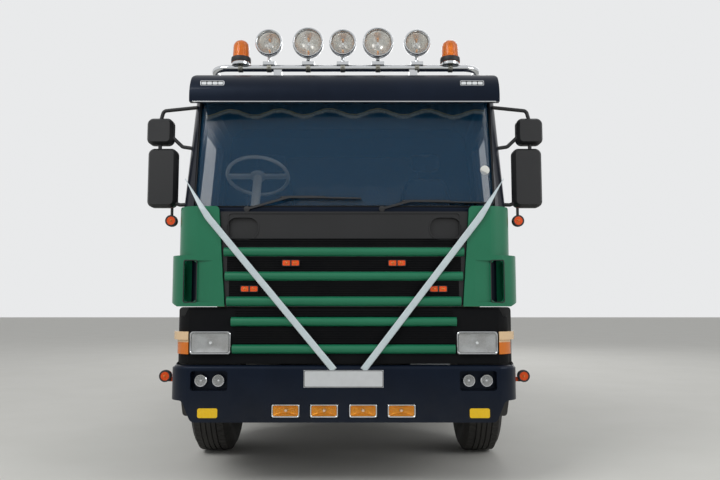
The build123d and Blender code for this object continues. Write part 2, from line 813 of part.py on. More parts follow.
guard_y0 = face_y + 2260
guard_y1 = rear_axle_y - rear_guard_radius - 60
guard_zs = (560, 850)
guard_height = 110
guard_thickness = 26
guard_post_ys = (guard_y0 + 300, guard_y1 - 200)
with BuildPart() as side_guards:
    for sign in (1, -1):
        for z in guard_zs:
            with Locations((sign * (deck_half + 6 - guard_thickness / 2), (guard_y0 + guard_y1) / 2, z)):
                Box(guard_thickness, guard_y1 - guard_y0, guard_height)
        for y in guard_post_ys:
            with Locations((sign * (deck_half - 32), y, 820)):
                Box(30, 60, 640)
        for y in guard_post_ys:
            with Locations((sign * (deck_half - 122), y, 1105)):
                Box(210, 60, 68)
side_guards.part.label = "side_guards"
export_step(side_guards.part, "parts/side_guards.step")

# Flatbed: runners on the rails, cross bearers, floor with its edge rails, and corner posts
board_back_y = tail_y - hinge_knuckle_radius - hinge_offset
deck_rear_y = board_back_y - board_thickness - 8
side_hinge_x = deck_half + board_thickness + 2 + hinge_offset
tail_hinge_y = board_back_y + hinge_offset
side_hinge_count = 5
tail_hinge_count = 4
ear_thickness = 12
ear_gap = 5
ear_half = 10
runner_z0 = rail_top_z
bearer_z0 = deck_top_z - deck_floor - bearer_height
bearer_count = 12
post_size = 60
edge_rail = 30
headboard_y = deck_front_y + 40
headboard_half_depth = 40
floor_front_y = headboard_y + headboard_half_depth + seat_gap
floor_half = deck_half - edge_rail - seat_gap
board_y0 = headboard_y + headboard_half_depth + board_gap
board_y1 = deck_rear_y - post_size - board_gap
hinge_pitch = (board_y1 - board_y0 - 400) / (side_hinge_count - 1)
side_hinge_ys = [board_y0 + 200 + index * hinge_pitch for index in range(side_hinge_count)]
tail_pitch = (2 * deck_half - 500) / (tail_hinge_count - 1)
tail_hinge_xs = [250 - deck_half + index * tail_pitch for index in range(tail_hinge_count)]
with BuildPart() as load_deck:
    for sign in (1, -1):
        with Locations((sign * (rail_outer_x - rail_width / 2), (deck_front_y + rail_rear_y) / 2,
                        (runner_z0 + bearer_z0 - seat_gap) / 2)):
            Box(rail_width, rail_rear_y - deck_front_y, bearer_z0 - seat_gap - runner_z0)
    with Locations((0, headboard_y, bearer_z0 + (bearer_height - seat_gap) / 2)):
        Box(2 * deck_half, 2 * headboard_half_depth, bearer_height - seat_gap)
    for index in range(1, bearer_count):
        y = headboard_y + index * (deck_rear_y - 30 - headboard_y) / (bearer_count - 1)
        with Locations((0, y, bearer_z0 + (bearer_height - seat_gap) / 2)):
            Box(2 * floor_half, 60, bearer_height - seat_gap)
    with Locations((0, (floor_front_y + deck_rear_y) / 2, deck_top_z - deck_floor / 2)):
        Box(2 * floor_half, deck_rear_y - floor_front_y, deck_floor)
    with Locations(*[(sign * deck_half, deck_rear_y, deck_top_z - deck_floor / 2) for sign in (1, -1)]):
        Box(2 * (post_size + seat_gap), 2 * (post_size + seat_gap), deck_floor, mode=Mode.SUBTRACT)
    for sign in (1, -1):
        with Locations((sign * (deck_half - edge_rail / 2), (floor_front_y + deck_rear_y) / 2,
                        (bearer_z0 + deck_top_z) / 2)):
            Box(edge_rail, deck_rear_y - floor_front_y, deck_top_z - bearer_z0)
        with Locations((sign * (deck_half - post_size / 2), deck_rear_y - post_size / 2,
                        deck_top_z + (board_height - deck_floor) / 2)):
            Box(post_size, post_size, board_height + deck_floor)
        for y in side_hinge_ys:
            for step in (-1, 1):
                with Locations((sign * (deck_half + side_hinge_x + ear_half - 4) / 2,
                                y + step * (hinge_width / 2 + ear_gap + ear_thickness / 2), hinge_z)):
                    Box(side_hinge_x + ear_half - deck_half + 4, ear_thickness, 2 * ear_half)
            with Locations(Location((sign * side_hinge_x, y, hinge_z), (90, 0, 0))):
                Cylinder(hinge_pin_radius, hinge_width + 2 * ear_gap + ear_thickness)
    for x in tail_hinge_xs:
        for step in (-1, 1):
            with Locations((x + step * (hinge_width / 2 + ear_gap + ear_thickness / 2),
                            (deck_rear_y + tail_hinge_y + ear_half - 4) / 2, hinge_z)):
                Box(ear_thickness, tail_hinge_y + ear_half - deck_rear_y + 4, 2 * ear_half)
        with Locations(Location((x, tail_hinge_y, hinge_z), (0, 90, 0))):
            Cylinder(hinge_pin_radius, hinge_width + 2 * ear_gap + ear_thickness)
load_deck.part.label = "load_deck"
export_step(load_deck.part, "parts/load_deck.step")

headboard_window_xs = (-780, -260, 260, 780)
headboard_window_width = 440
headboard_window_height = 320
headboard_window_z = deck_top_z - deck_floor + headboard_height - 260
with BuildPart() as headboard:
    with BuildSketch(Plane.XZ.offset(-headboard_y)):
        with Locations((0, deck_top_z - deck_floor + headboard_height / 2)):
            Rectangle(2 * deck_half, headboard_height)
        with Locations(*[(x, headboard_window_z) for x in headboard_window_xs]):
            RectangleRounded(headboard_window_width, headboard_window_height, 30, mode=Mode.SUBTRACT)
    extrude(amount=headboard_half_depth, both=True)
headboard.part.label = "headboard"
export_step(headboard.part, "parts/headboard.step")

# Drop sides and tailboard, hinged along their lower edges
rib_pitch = 110
for side, sign in (("left", 1), ("right", -1)):
    inner_x = deck_half + 2
    with BuildPart() as dropside:
        with BuildSketch(Plane.XZ.offset(-board_y1)):
            with Locations((sign * (inner_x + board_thickness / 2), hinge_z + board_foot + board_height / 2)):
                Rectangle(board_thickness, board_height)
            with Locations(*[(sign * (inner_x + board_thickness), hinge_z + board_foot + z)
                             for z in (rib_pitch, 2 * rib_pitch, 3 * rib_pitch)]):
                Rectangle(10, 14, mode=Mode.SUBTRACT)
        extrude(amount=board_y1 - board_y0)
        for y in side_hinge_ys:
            with Locations((sign * (side_hinge_x + 2), y, hinge_z + 40)):
                Box(8, hinge_width, 80)
            with Locations(Location((sign * side_hinge_x, y, hinge_z), (90, 0, 0))):
                Cylinder(hinge_knuckle_radius, hinge_width)
                Cylinder(hinge_pin_radius + pin_gap, hinge_width, mode=Mode.SUBTRACT)
    dropside.part.label = f"dropside_{side}"
    export_step(dropside.part, f"parts/dropside_{side}.step")

with BuildPart() as tailboard:
    with BuildSketch(Plane.YZ.offset(-(deck_half - 12))):
        with Locations((board_back_y - board_thickness / 2, hinge_z + board_foot + board_height / 2)):
            Rectangle(board_thickness, board_height)
        with Locations(*[(board_back_y, hinge_z + board_foot + z)
                         for z in (rib_pitch, 2 * rib_pitch, 3 * rib_pitch)]):
            Rectangle(10, 14, mode=Mode.SUBTRACT)
    extrude(amount=2 * (deck_half - 12))
    for x in tail_hinge_xs:
        with Locations((x, tail_hinge_y + 2, hinge_z + 40)):
            Box(hinge_width, 8, 80)
        with Locations(Location((x, tail_hinge_y, hinge_z), (0, 90, 0))):
            Cylinder(hinge_knuckle_radius, hinge_width)
            Cylinder(hinge_pin_radius + pin_gap, hinge_width, mode=Mode.SUBTRACT)
tailboard.part.label = "tailboard"
export_step(tailboard.part, "parts/tailboard.step")

bar_y = tail_y - 150
with BuildPart() as rear_bar:
    with Locations((0, bar_y, 500)):
        Box(2360, 100, 100)
    for sign in (1, -1):
        with Locations((sign * (rail_outer_x - rail_width / 2), bar_y - 20, 660)):
            Box(60, 80, 2 * (rail_bottom_z - 660))
        with Locations((sign * 900, bar_y, 610)):
            Box(420, 60, 120)
rear_bar.part.label = "rear_bar"
export_step(rear_bar.part, "parts/rear_bar.step")

with BuildPart() as rear_lamps:
    for sign in (1, -1):
        with Locations((sign * 900, bar_y + 30 + 30, 620)):
            Box(400, 60, 120)
rear_lamps.part.label = "rear_lamps"
export_step(rear_lamps.part, "parts/rear_lamps.step")

# Front bumper: a shell open behind and below, with its apron
recess_x = 880
recess_z = 706
recess_width = 244
recess_height = 128
recess_depth = 70
drive_lamp_xs = (-378, -127, 127, 378)
drive_lamp_z = 513
drive_lamp_width = 190
drive_lamp_height = 92
drive_lamp_depth = 60
pan_wall = 8


def front_plan(corner_half, side_half, run, setback, side_depth, inset):
    """A plan outline round the front: flat, a curved corner, then a side that widens to the back."""
    front = face_y + inset
    corner_x = corner_half - run
    corner_y = face_y + setback
    half = corner_half - inset
    wide = side_half - inset
    bulge_x = half - run * 0.24
    bulge_y = front + (setback - inset) * 0.36
    with BuildSketch() as plan:
        with BuildLine():
            Line((-corner_x, front), (corner_x, front))
            ThreePointArc((corner_x, front), (bulge_x, bulge_y), (half, corner_y))
            Line((half, corner_y), (wide, face_y + side_depth))
            Line((wide, face_y + side_depth), (-wide, face_y + side_depth))
            Line((-wide, face_y + side_depth), (-half, corner_y))
            ThreePointArc((-half, corner_y), (-bulge_x, bulge_y), (-corner_x, front))
        make_face()
    return plan.sketch


apron_lamp_x = 885
apron_lamp_z = 500
apron_lamp_width = 131
apron_lamp_height = 62
apron_lamp_depth = 12
bumper_corner_half = bumper_half - 43
bumper_plan = front_plan(bumper_corner_half, bumper_half, corner_run, corner_setback, bumper_side_depth, 0)
bumper_inner_plan = front_plan(bumper_corner_half, bumper_half, corner_run, corner_setback,
                               bumper_side_depth + 10, bumper_wall)
with BuildPart() as bumper_body:
    with BuildSketch(Plane.XY.offset(apron_bottom_z - 5)):
        add(bumper_plan)
    extrude(amount=bumper_top_z - apron_bottom_z + 10)
bumper_solid = bumper_body.part
with BuildPart() as front_bumper:
    with BuildSketch(Plane.XY.offset(apron_bottom_z)):
        add(bumper_plan)
    extrude(amount=bumper_top_z - apron_bottom_z)
    top_edges = front_bumper.faces().sort_by(Axis.Z)[-1].edges()
    fillet(top_edges.filter_by(lambda edge: edge.center().Y < face_y + bumper_side_depth - 1), 24)
    with BuildSketch(Plane.XY.offset(apron_bottom_z - 10)):
        add(bumper_inner_plan)
    extrude(amount=bumper_top_z - bumper_wall - apron_bottom_z + 10, mode=Mode.SUBTRACT)
    add(slab(-bumper_half + bumper_wall, bumper_half - bumper_wall, face_y + 70,
             face_y + bumper_side_depth + 10, bumper_top_z - bumper_wall - 5, bumper_top_z + 5),
        mode=Mode.SUBTRACT)
    with Locations(*[(sign * recess_x, face_y + (recess_depth + pan_wall) / 2, recess_z) for sign in (1, -1)]):
        Box(recess_width + 2 * pan_wall, recess_depth + pan_wall, recess_height + 2 * pan_wall)
    with Locations(*[(x, face_y + (drive_lamp_depth + pan_wall) / 2, drive_lamp_z) for x in drive_lamp_xs]):
        Box(drive_lamp_width + 2 * pan_wall, drive_lamp_depth + pan_wall, drive_lamp_height + 2 * pan_wall)
    with Locations(*[(sign * apron_lamp_x, face_y + apron_lamp_depth, apron_lamp_z) for sign in (1, -1)]):
        Box(apron_lamp_width + 2 * pan_wall, 2 * pan_wall, apron_lamp_height + 2 * pan_wall)
    with BuildSketch(Plane.XZ.offset(-face_y + 10)):
        with Locations(*[(sign * apron_lamp_x, apron_lamp_z) for sign in (1, -1)]):
            RectangleRounded(apron_lamp_width, apron_lamp_height, 12)
    extrude(amount=-apron_lamp_depth - 10, mode=Mode.SUBTRACT)
    with BuildSketch(Plane.XZ.offset(-face_y + 10)):
        with Locations(*[(sign * recess_x, recess_z) for sign in (1, -1)]):
            RectangleRounded(recess_width, recess_height, 20)
    extrude(amount=-recess_depth - 10, mode=Mode.SUBTRACT)
    with BuildSketch(Plane.XZ.offset(-face_y + 10)):
        with Locations(*[(x, drive_lamp_z) for x in drive_lamp_xs]):
            RectangleRounded(drive_lamp_width, drive_lamp_height, 12)
    extrude(amount=-drive_lamp_depth - 10, mode=Mode.SUBTRACT)
    with BuildSketch(Plane.XZ.offset(-face_y + 20)):
        with BuildLine():
            FilletPolyline(
                (1300, bumper_top_z + 10),
                (1300, bumper_bottom_z),
                (apron_half, bumper_bottom_z),
                (apron_half - 60, apron_bottom_z),
                (-apron_half + 60, apron_bottom_z),
                (-apron_half, bumper_bottom_z),
                (-1300, bumper_bottom_z),
                (-1300, bumper_top_z + 10),
                radius=40,
                close=True,
            )
        make_face()
    extrude(amount=-600, mode=Mode.INTERSECT)
    for sign in (1, -1):
        with Locations((sign * (rail_outer_x - 30), (face_y + bumper_wall + rail_front_y) / 2, 700)):
            Box(60, rail_front_y - face_y - bumper_wall, 160)
front_bumper.part.label = "front_bumper"
export_step(front_bumper.part, "parts/front_bumper.step")

fog_radius = 42
fog_spacing = 58
headlamp_x0 = 745
headlamp_x1 = 1012
headlamp_z0 = 877
headlamp_z1 = 1025
lower_panel_y = face_y + 35
with BuildPart() as front_lamps:
    for x in drive_lamp_xs:
        with BuildSketch(Plane.XZ.offset(-face_y - drive_lamp_depth)):
            with Locations((x, drive_lamp_z)):
                RectangleRounded(drive_lamp_width - 6, drive_lamp_height - 6, 9)
        extrude(amount=drive_lamp_depth)
    for sign in (1, -1):
        for offset_x in (-fog_spacing, fog_spacing):
            fog_x = sign * recess_x + offset_x
            with Locations(Location((fog_x, face_y + recess_depth / 2 + 4, recess_z), (90, 0, 0))):
                Cylinder(fog_radius, recess_depth - 8)
        with BuildSketch(Plane.XZ.offset(-lower_panel_y)):
            with Locations((sign * (headlamp_x0 + headlamp_x1) / 2, (headlamp_z0 + headlamp_z1) / 2)):
                RectangleRounded(headlamp_x1 - headlamp_x0, headlamp_z1 - headlamp_z0, 18)
        extrude(amount=26, taper=8)
front_lamps.part.label = "front_lamps"
export_step(front_lamps.part, "parts/front_lamps.step")

with BuildPart() as number_plate:
    with Locations((0, face_y - plate_thickness / 2, 720)):
        Box(520, plate_thickness, 111)
number_plate.part.label = "number_plate"
export_step(number_plate.part, "parts/number_plate.step")

# Lower front panel, fixed to the frame, and the cab's own front panel above the split
lower_panel_z0 = 815
lower_panel_z1 = 1178
upper_panel_half = 832
panel_slant = 47
upper_panel_z0 = cab_bottom_z - 14
upper_panel_z1 = 1825
lower_corner_half = 1150
lower_side_half = 1200
lower_setback = 175
lower_cap_half = 1060
lower_plan = front_plan(lower_corner_half, lower_side_half, corner_run, lower_setback,
                        bumper_side_depth, lower_panel_y - face_y)
lower_inner_plan = front_plan(lower_corner_half, lower_side_half, corner_run, lower_setback,
                              bumper_side_depth + 10, lower_panel_y - face_y + panel_wall)
with BuildPart() as lower_front_panel:
    with BuildSketch(Plane.XY.offset(lower_panel_z0)):
        add(lower_plan)
    extrude(amount=lower_panel_z1 - lower_panel_z0)
    with BuildSketch(Plane.XY.offset(lower_panel_z0 - 5)):
        add(lower_inner_plan)
    extrude(amount=lower_panel_z1 - lower_panel_z0 + 10, mode=Mode.SUBTRACT)
    with BuildSketch(Plane.XZ.offset(-face_y + 20)):
        with BuildLine():
            FilletPolyline(
                (-1300, lower_panel_z0),
                (-1300, 1124),
                (-lower_cap_half, 1124),
                (-lower_cap_half + 30, lower_panel_z1),
                (lower_cap_half - 30, lower_panel_z1),
                (lower_cap_half, 1124),
                (1300, 1124),
                (1300, lower_panel_z0),
                radius=12,
            )
            Line((1300, lower_panel_z0), (-1300, lower_panel_z0))
        make_face()
    extrude(amount=-600, mode=Mode.INTERSECT)
    for sign in (1, -1):
        with Locations((sign * (rail_outer_x - 30), (lower_panel_y + panel_wall + rail_front_y) / 2, 930)):
            Box(60, rail_front_y - lower_panel_y - panel_wall, 60)
lower_front_panel.part.label = "lower_front_panel"
export_step(lower_front_panel.part, "parts/lower_front_panel.step")

dish_x = 680
dish_z = 1712
dish_width = 215
dish_height = 148
with BuildPart() as upper_front_panel:
    with BuildSketch(Plane.XZ.offset(-face_y - 62)):
        Polygon(
            *mirrored_x((upper_panel_half - panel_slant, upper_panel_z0), (upper_panel_half, upper_panel_z1)),
            align=None,
        )
    extrude(amount=face_y + 62 - lower_panel_y)
    with BuildSketch(Plane.XZ.offset(-lower_panel_y)):
        for sign in (1, -1):
            with Locations((sign * dish_x, dish_z)):
                RectangleRounded(dish_width, dish_height, 66)
    extrude(amount=-20, mode=Mode.SUBTRACT)
    for sign in (1, -1):
        with Locations((sign * 600, face_y + 90, 1500)):
            Box(80, 60, 500)
    add(cab_outer, mode=Mode.SUBTRACT)
upper_front_panel.part.label = "upper_front_panel"
export_step(upper_front_panel.part, "parts/upper_front_panel.step")

# The five green slats: middle height, half width and half height
slat_rows = (
    (1553, 800, 30),
    (1391, 790, 30),
    (1224, 777, 32),
    (1090, 745, 30),
    (910, 735, 30),
)
with BuildPart() as grille_slats:
    for z, half, half_height in slat_rows:
        with BuildSketch(Plane.YZ.offset(-half)):
            with BuildLine():
                Line((lower_panel_y, z - half_height), (lower_panel_y, z + half_height))
                ThreePointArc(
                    (lower_panel_y, z + half_height),
                    (lower_panel_y - slat_proud + 4, z + 4),
                    (lower_panel_y, z - half_height),
                )
            make_face()
        extrude(amount=2 * half)
grille_slats.part.label = "grille_slats"
export_step(grille_slats.part, "parts/grille_slats.step")

# Green corner deflectors in two steps of width, with their upright slots
deflector_inner_x = 790
deflector_slant = 48
deflector_wall = 22
deflector_back_depth = 330
deflector_step_z = 1530
deflector_z0 = 1190
deflector_z1 = 1860
slot_x = 1020
slot_width = 83


def deflector_plan(outer_x):
    """A curved band in plan, from the panel's edge round the corner."""
    front = face_y + 15
    wall = deflector_wall
    with BuildSketch() as plan:
        with BuildLine():
            Line((deflector_inner_x, front), (outer_x - 150, front))
            ThreePointArc((outer_x - 150, front), (outer_x - 46, front + 50), (outer_x, front + 170))
            Line((outer_x, front + 170), (outer_x, face_y + deflector_back_depth))
            Line((outer_x, face_y + deflector_back_depth), (outer_x - wall, face_y + deflector_back_depth))
            Line((outer_x - wall, face_y + deflector_back_depth), (outer_x - wall, front + 170))
            ThreePointArc(
                (outer_x - wall, front + 170),
                (outer_x - 46 - wall * 0.7, front + 50 + wall * 0.7),
                (outer_x - 150, front + wall),
            )
            Line((outer_x - 150, front + wall), (deflector_inner_x, front + wall))
            Line((deflector_inner_x, front + wall), (deflector_inner_x, front))
        make_face()
    return plan.sketch


deflector_lower_half = 1173
deflector_upper_half = 1128
scoop_inner_x = 870
scoop_depth = 15
scoop_back_x = slot_x - slot_width / 2
slot_z = 1357
slot_height = 275
with BuildPart() as corner_deflectors:
    with BuildSketch(Plane.XY.offset(deflector_z0)):
        add(deflector_plan(deflector_lower_half))
    extrude(amount=deflector_step_z - deflector_z0)
    with BuildSketch(Plane.XY.offset(deflector_step_z)):
        add(deflector_plan(deflector_upper_half))
    extrude(amount=deflector_z1 - deflector_step_z)
    with BuildSketch(Plane.XZ.offset(-face_y + 20)):
        with BuildLine():
            FilletPolyline(
                (deflector_inner_x, deflector_z0),
                (deflector_inner_x + deflector_slant, deflector_z1),
                (deflector_upper_half, deflector_z1),
                (deflector_upper_half, deflector_step_z + 30),
                (deflector_lower_half, deflector_step_z - 10),
                (deflector_lower_half, deflector_z0 + 30),
                (deflector_lower_half - 60, deflector_z0),
                radius=26,
            )
            Line((deflector_lower_half - 60, deflector_z0), (deflector_inner_x, deflector_z0))
        make_face()
    extrude(amount=-500, mode=Mode.INTERSECT)
    with BuildSketch(Plane.XY.offset(slot_z - slot_height / 2)):
        Polygon(
            (scoop_inner_x, face_y + 14),
            (scoop_back_x + 4, face_y + 14),
            (scoop_back_x + 4, face_y + 15 + scoop_depth),
            (scoop_inner_x, face_y + 15),
            align=None,
        )
    extrude(amount=slot_height, mode=Mode.SUBTRACT)
    with BuildSketch(Plane.XZ.offset(-face_y)):
        with Locations((slot_x, slot_z)):
            RectangleRounded(slot_width, slot_height, 30)
    extrude(amount=-100, mode=Mode.SUBTRACT)
    with Locations((deflector_inner_x + 110, face_y + 15 + deflector_wall + 60, 1520)):
        Box(60, 140, 480)
    add(cab_outer, mode=Mode.SUBTRACT)
    mirror(about=Plane.YZ)
corner_deflectors.part.label = "corner_deflectors"
export_step(corner_deflectors.part, "parts/corner_deflectors.step")

# Sun visor over the windscreen: a curved hood with closed ends, on four brackets
visor_half = 1065
visor_low_z = 2590
visor_high_z = 2828
visor_wall = 14
visor_lip_y = face_y + 60
visor_back_y = face_y + 250
visor_bracket_xs = (-900, -320, 320, 900)
with BuildPart() as sun_visor:
    with BuildSketch(Plane.YZ.offset(-visor_half)):
        with BuildLine():
            ThreePointArc(
                (visor_back_y, visor_high_z),
                (visor_lip_y + 60, visor_high_z - 52),
                (visor_lip_y, visor_low_z),
            )
            Line((visor_lip_y, visor_low_z), (visor_lip_y + 46, visor_low_z))
            ThreePointArc(
                (visor_lip_y + 46, visor_low_z),
                (visor_lip_y + 100, visor_high_z - 76),
                (visor_back_y, visor_high_z - 30),
            )
            Line((visor_back_y, visor_high_z - 30), (visor_back_y, visor_high_z))
        make_face()
    extrude(amount=2 * visor_half)
    for sign in (1, -1):
        with BuildSketch(Plane.YZ.offset(sign * visor_half - (visor_wall if sign > 0 else 0))):
            with BuildLine():
                ThreePointArc(
                    (visor_back_y, visor_high_z),
                    (visor_lip_y + 60, visor_high_z - 52),
                    (visor_lip_y, visor_low_z),
                )
                Line((visor_lip_y, visor_low_z), (visor_back_y, visor_low_z + 60))
                Line((visor_back_y, visor_low_z + 60), (visor_back_y, visor_high_z))
            make_face()
        extrude(amount=visor_wall)
    with BuildSketch(Plane.XZ.offset(-face_y + 50)):
        with BuildLine():
            FilletPolyline(
                (-visor_half, visor_low_z - 20),
                (-visor_half, visor_high_z),
                (visor_half, visor_high_z),
                (visor_half, visor_low_z - 20),
                radius=60,
            )
            Line((visor_half, visor_low_z - 20), (-visor_half, visor_low_z - 20))
        make_face()
    extrude(amount=-400, mode=Mode.INTERSECT)
    for x in visor_bracket_xs:
        with Locations((x, visor_back_y + 20, visor_high_z - 50)):
            Box(24, 160, 50)
    add(cab_outer, mode=Mode.SUBTRACT)
sun_visor.part.label = "sun_visor"
export_step(sun_visor.part, "parts/sun_visor.step")

# Roof light bar with its lamps
bar_radius = 25
bar_z = 2946
bar_tube_y = face_y + 420
bar_foot_y = face_y + 800
bar_foot_z = 2800
bar_stay_xs = (-500, 500)
lamp_xs = (-565, -276, -20, 240, 528)
lamp_z = 3126
lamp_radii = (100, 114, 100, 114, 98)
beacon_x = 775
beacon_radius = 64
beacon_height = 170
lamp_clamp_height = 24
with BuildPart() as light_bar:
    with BuildLine() as bar_path:
        FilletPolyline(
            (-985, bar_foot_y, bar_foot_z),
            (-985, bar_foot_y, bar_z),
            (-985, bar_tube_y, bar_z),
            (985, bar_tube_y, bar_z),
            (985, bar_foot_y, bar_z),
            (985, bar_foot_y, bar_foot_z),
            radius=110,
        )
    with BuildSketch(Plane(origin=bar_path.line @ 0, z_dir=bar_path.line % 0)):
        Circle(bar_radius)
    sweep(path=bar_path.line)
    for x in lamp_xs:
        with Locations((x, bar_tube_y, bar_z + 32)):
            Box(90, 60, 24)
    for x in (-beacon_x, beacon_x):
        with Locations((x, bar_tube_y, bar_z + 30)):
            Cylinder(beacon_radius + 2, 20)
    for x in bar_stay_xs:
        with Locations((x, bar_tube_y, bar_z - 75)):
            Box(60, 40, 130)
    add(cab_outer, mode=Mode.SUBTRACT)
light_bar.part.label = "light_bar"
export_step(light_bar.part, "parts/light_bar.step")

lamp_foot_z = bar_z + 20 + lamp_clamp_height
with BuildPart() as spot_lamps:
    for x, radius in zip(lamp_xs, lamp_radii):
        lamp_plane = Plane(origin=(x, bar_tube_y, lamp_z), x_dir=(0, 1, 0), z_dir=(1, 0, 0))
        with BuildSketch(lamp_plane):
            with BuildLine():
                Line((-50, 0), (-50, radius - 14))
                Line((-50, radius - 14), (-62, radius - 14))
                Line((-62, radius - 14), (-62, radius))
                Line((-62, radius), (-36, radius))
                ThreePointArc((-36, radius), (44, radius * 0.66), (75, 0))
                Line((75, 0), (-50, 0))
            make_face()
        revolve(axis=Axis((x, bar_tube_y, lamp_z), (0, 1, 0)))
        with Locations((x, bar_tube_y, (lamp_foot_z + lamp_z) / 2)):
            Cylinder(20, lamp_z - lamp_foot_z)
spot_lamps.part.label = "spot_lamps"
export_step(spot_lamps.part, "parts/spot_lamps.step")

with BuildPart() as beacons:
    for x in (-beacon_x, beacon_x):
        with BuildSketch(Plane(origin=(x, bar_tube_y, bar_z + 40), x_dir=(1, 0, 0), z_dir=(0, -1, 0))):
            with BuildLine():
                Line((0, 0), (beacon_radius + 6, 0))
                Line((beacon_radius + 6, 0), (beacon_radius + 6, 36))
                Line((beacon_radius + 6, 36), (beacon_radius - 2, 42))
                Line((beacon_radius - 2, 42), (beacon_radius - 6, beacon_height - 50))
                ThreePointArc(
                    (beacon_radius - 6, beacon_height - 50),
                    (beacon_radius * 0.68, beacon_height - 15),
                    (16, beacon_height),
                )
                Line((16, beacon_height), (0, beacon_height))
                Line((0, beacon_height), (0, 0))
            make_face()
        revolve(axis=Axis((x, bar_tube_y, bar_z + 40), (0, 0, 1)))
beacons.part.label = "beacons"
export_step(beacons.part, "parts/beacons.step")

# Mirrors on tube arms, heads ahead of the doors
mirror_y = face_y + 250
# middle, half width, lower and upper edge of each head
mirror_rows = (
    (1285, 102, 1882, 2300),
    (1308, 92, 2328, 2518),
)
mirror_arm_radius = 13
mirror_arm_rows = (
    ((1050, mirror_y, 2600), (1290, mirror_y, 2575), (1310, mirror_y, 2500)),
    ((1050, mirror_y, 2300), (1150, mirror_y, 2315), (1240, mirror_y, 2400)),
    ((1050, mirror_y, 1905), (1160, mirror_y, 1900), (1240, mirror_y, 1930)),
    ((1310, mirror_y, 2250), (1310, mirror_y + 1, 2315), (1310, mirror_y, 2380)),
)
with BuildPart() as mirrors:
    for middle_x, half, z0, z1 in mirror_rows:
        with BuildSketch(Plane.XZ.offset(-mirror_y - 40)):
            with Locations((middle_x, (z0 + z1) / 2)):
                RectangleRounded(2 * half, z1 - z0, 44)
        extrude(amount=50)
        with BuildSketch(Plane.XZ.offset(-mirror_y + 10)):
            with Locations((middle_x, (z0 + z1) / 2)):
                RectangleRounded(2 * half, z1 - z0, 44)
        extrude(amount=34, taper=28)
    for points in mirror_arm_rows:
        with BuildLine() as arm_path:
            FilletPolyline(*points, radius=30)
        with BuildSketch(Plane(origin=arm_path.line @ 0, z_dir=arm_path.line % 0)):
            Circle(mirror_arm_radius)
        sweep(path=arm_path.line)
    add(cab_outer, mode=Mode.SUBTRACT)
    mirror(about=Plane.YZ)
mirrors.part.label = "mirrors"
export_step(mirrors.part, "parts/mirrors.step")

# Amber lamps: bumper markers, mirror markers, indicators round the corner and grille markers
marker_radius = 38
marker_depth = 50
marker_x = 1234
mirror_marker_x = 1214
indicator_x = 1024
indicator_lip = 12
indicator_ear_z = 972
grille_marker_width = 115
grille_marker_height = 40
# middle and height of the grille markers
grille_marker_rows = ((353, 1478), (627, 1306))
indicator_outer = front_plan(lower_corner_half, lower_side_half, corner_run, lower_setback,
                             bumper_side_depth, lower_panel_y - face_y - indicator_lip)
ear_outer = front_plan(lower_corner_half + 14, lower_side_half, corner_run, lower_setback,
                       bumper_side_depth, lower_panel_y - face_y - indicator_lip - 8)
with BuildPart() as amber_lamps:
    with BuildSketch(Plane.XY.offset(headlamp_z0)):
        add(indicator_outer)
    extrude(amount=headlamp_z1 - headlamp_z0)
    with BuildSketch(Plane.XY.offset(indicator_ear_z)):
        add(ear_outer)
    extrude(amount=headlamp_z1 - indicator_ear_z)
    with BuildSketch(Plane.XY.offset(headlamp_z0)):
        add(lower_plan)
    extrude(amount=headlamp_z1 - headlamp_z0, mode=Mode.SUBTRACT)
    add(slab(-2000, indicator_x, face_y - 50, face_y + 500, 800, 1200), mode=Mode.SUBTRACT)
    add(slab(1000, 2000, face_y + lower_setback - 10, face_y + 500, 800, 1200), mode=Mode.SUBTRACT)
    with Locations(Location((marker_x, face_y + 270, 713), (90, 0, 0))):
        Cylinder(marker_radius, marker_depth)
    with Locations(((bumper_half + marker_x - 30) / 2, face_y + 285, 690)):
        Box(marker_x + 30 - bumper_half, 24, 30)
    add(bumper_solid, mode=Mode.SUBTRACT)
    with Locations(Location((mirror_marker_x, mirror_y, 1786), (90, 0, 0))):
        Cylinder(marker_radius, marker_depth)
    with Locations((mirror_marker_x, mirror_y, 1851.5)):
        Cylinder(8, 60)
    for x, z in grille_marker_rows:
        with BuildSketch(Plane.XZ.offset(-lower_panel_y)):
            with Locations((x, z)):
                RectangleRounded(grille_marker_width, grille_marker_height, 8)
        extrude(amount=18)
    with BuildSketch(Plane.XZ.offset(-face_y - apron_lamp_depth + seat_gap)):
        with Locations((apron_lamp_x, apron_lamp_z)):
            RectangleRounded(apron_lamp_width - 2 * seat_gap, apron_lamp_height - 2 * seat_gap, 12)
    extrude(amount=apron_lamp_depth + 3)
    mirror(about=Plane.YZ)
amber_lamps.part.label = "amber_lamps"
export_step(amber_lamps.part, "parts/amber_lamps.step")

# Wipers parked along the foot of the screen: spindle, elbow and blade end
wiper_rows = (
    ((-660, 1848), (-375, 1930), (113, 1920)),
    ((255, 1848), (452, 1903), (994, 1893)),
)
wiper_shell = hull(-14, -14)
wiper_room = hull(-seat_gap, -seat_gap, 10)
blade_room = hull(20 - seat_gap, 20, 10)
with BuildPart() as wiper_arm_band:
    add(wiper_shell)
    add(wiper_room, mode=Mode.SUBTRACT)
with BuildPart() as wiper_blade_band:
    add(wiper_shell)
    add(blade_room, mode=Mode.SUBTRACT)
with BuildPart() as wiper_arms:
    for spindle, elbow, tip in wiper_rows:
        with BuildSketch(Plane.XZ.offset(-face_y + 100)):
            with BuildLine():
                Polyline(spindle, elbow, ((elbow[0] + tip[0]) / 2, (elbow[1] + tip[1]) / 2 + 4))
            trace(line_width=15)
            with Locations(spindle):
                Circle(20)
        extrude(amount=-400)
    add(wiper_arm_band.part, mode=Mode.INTERSECT)
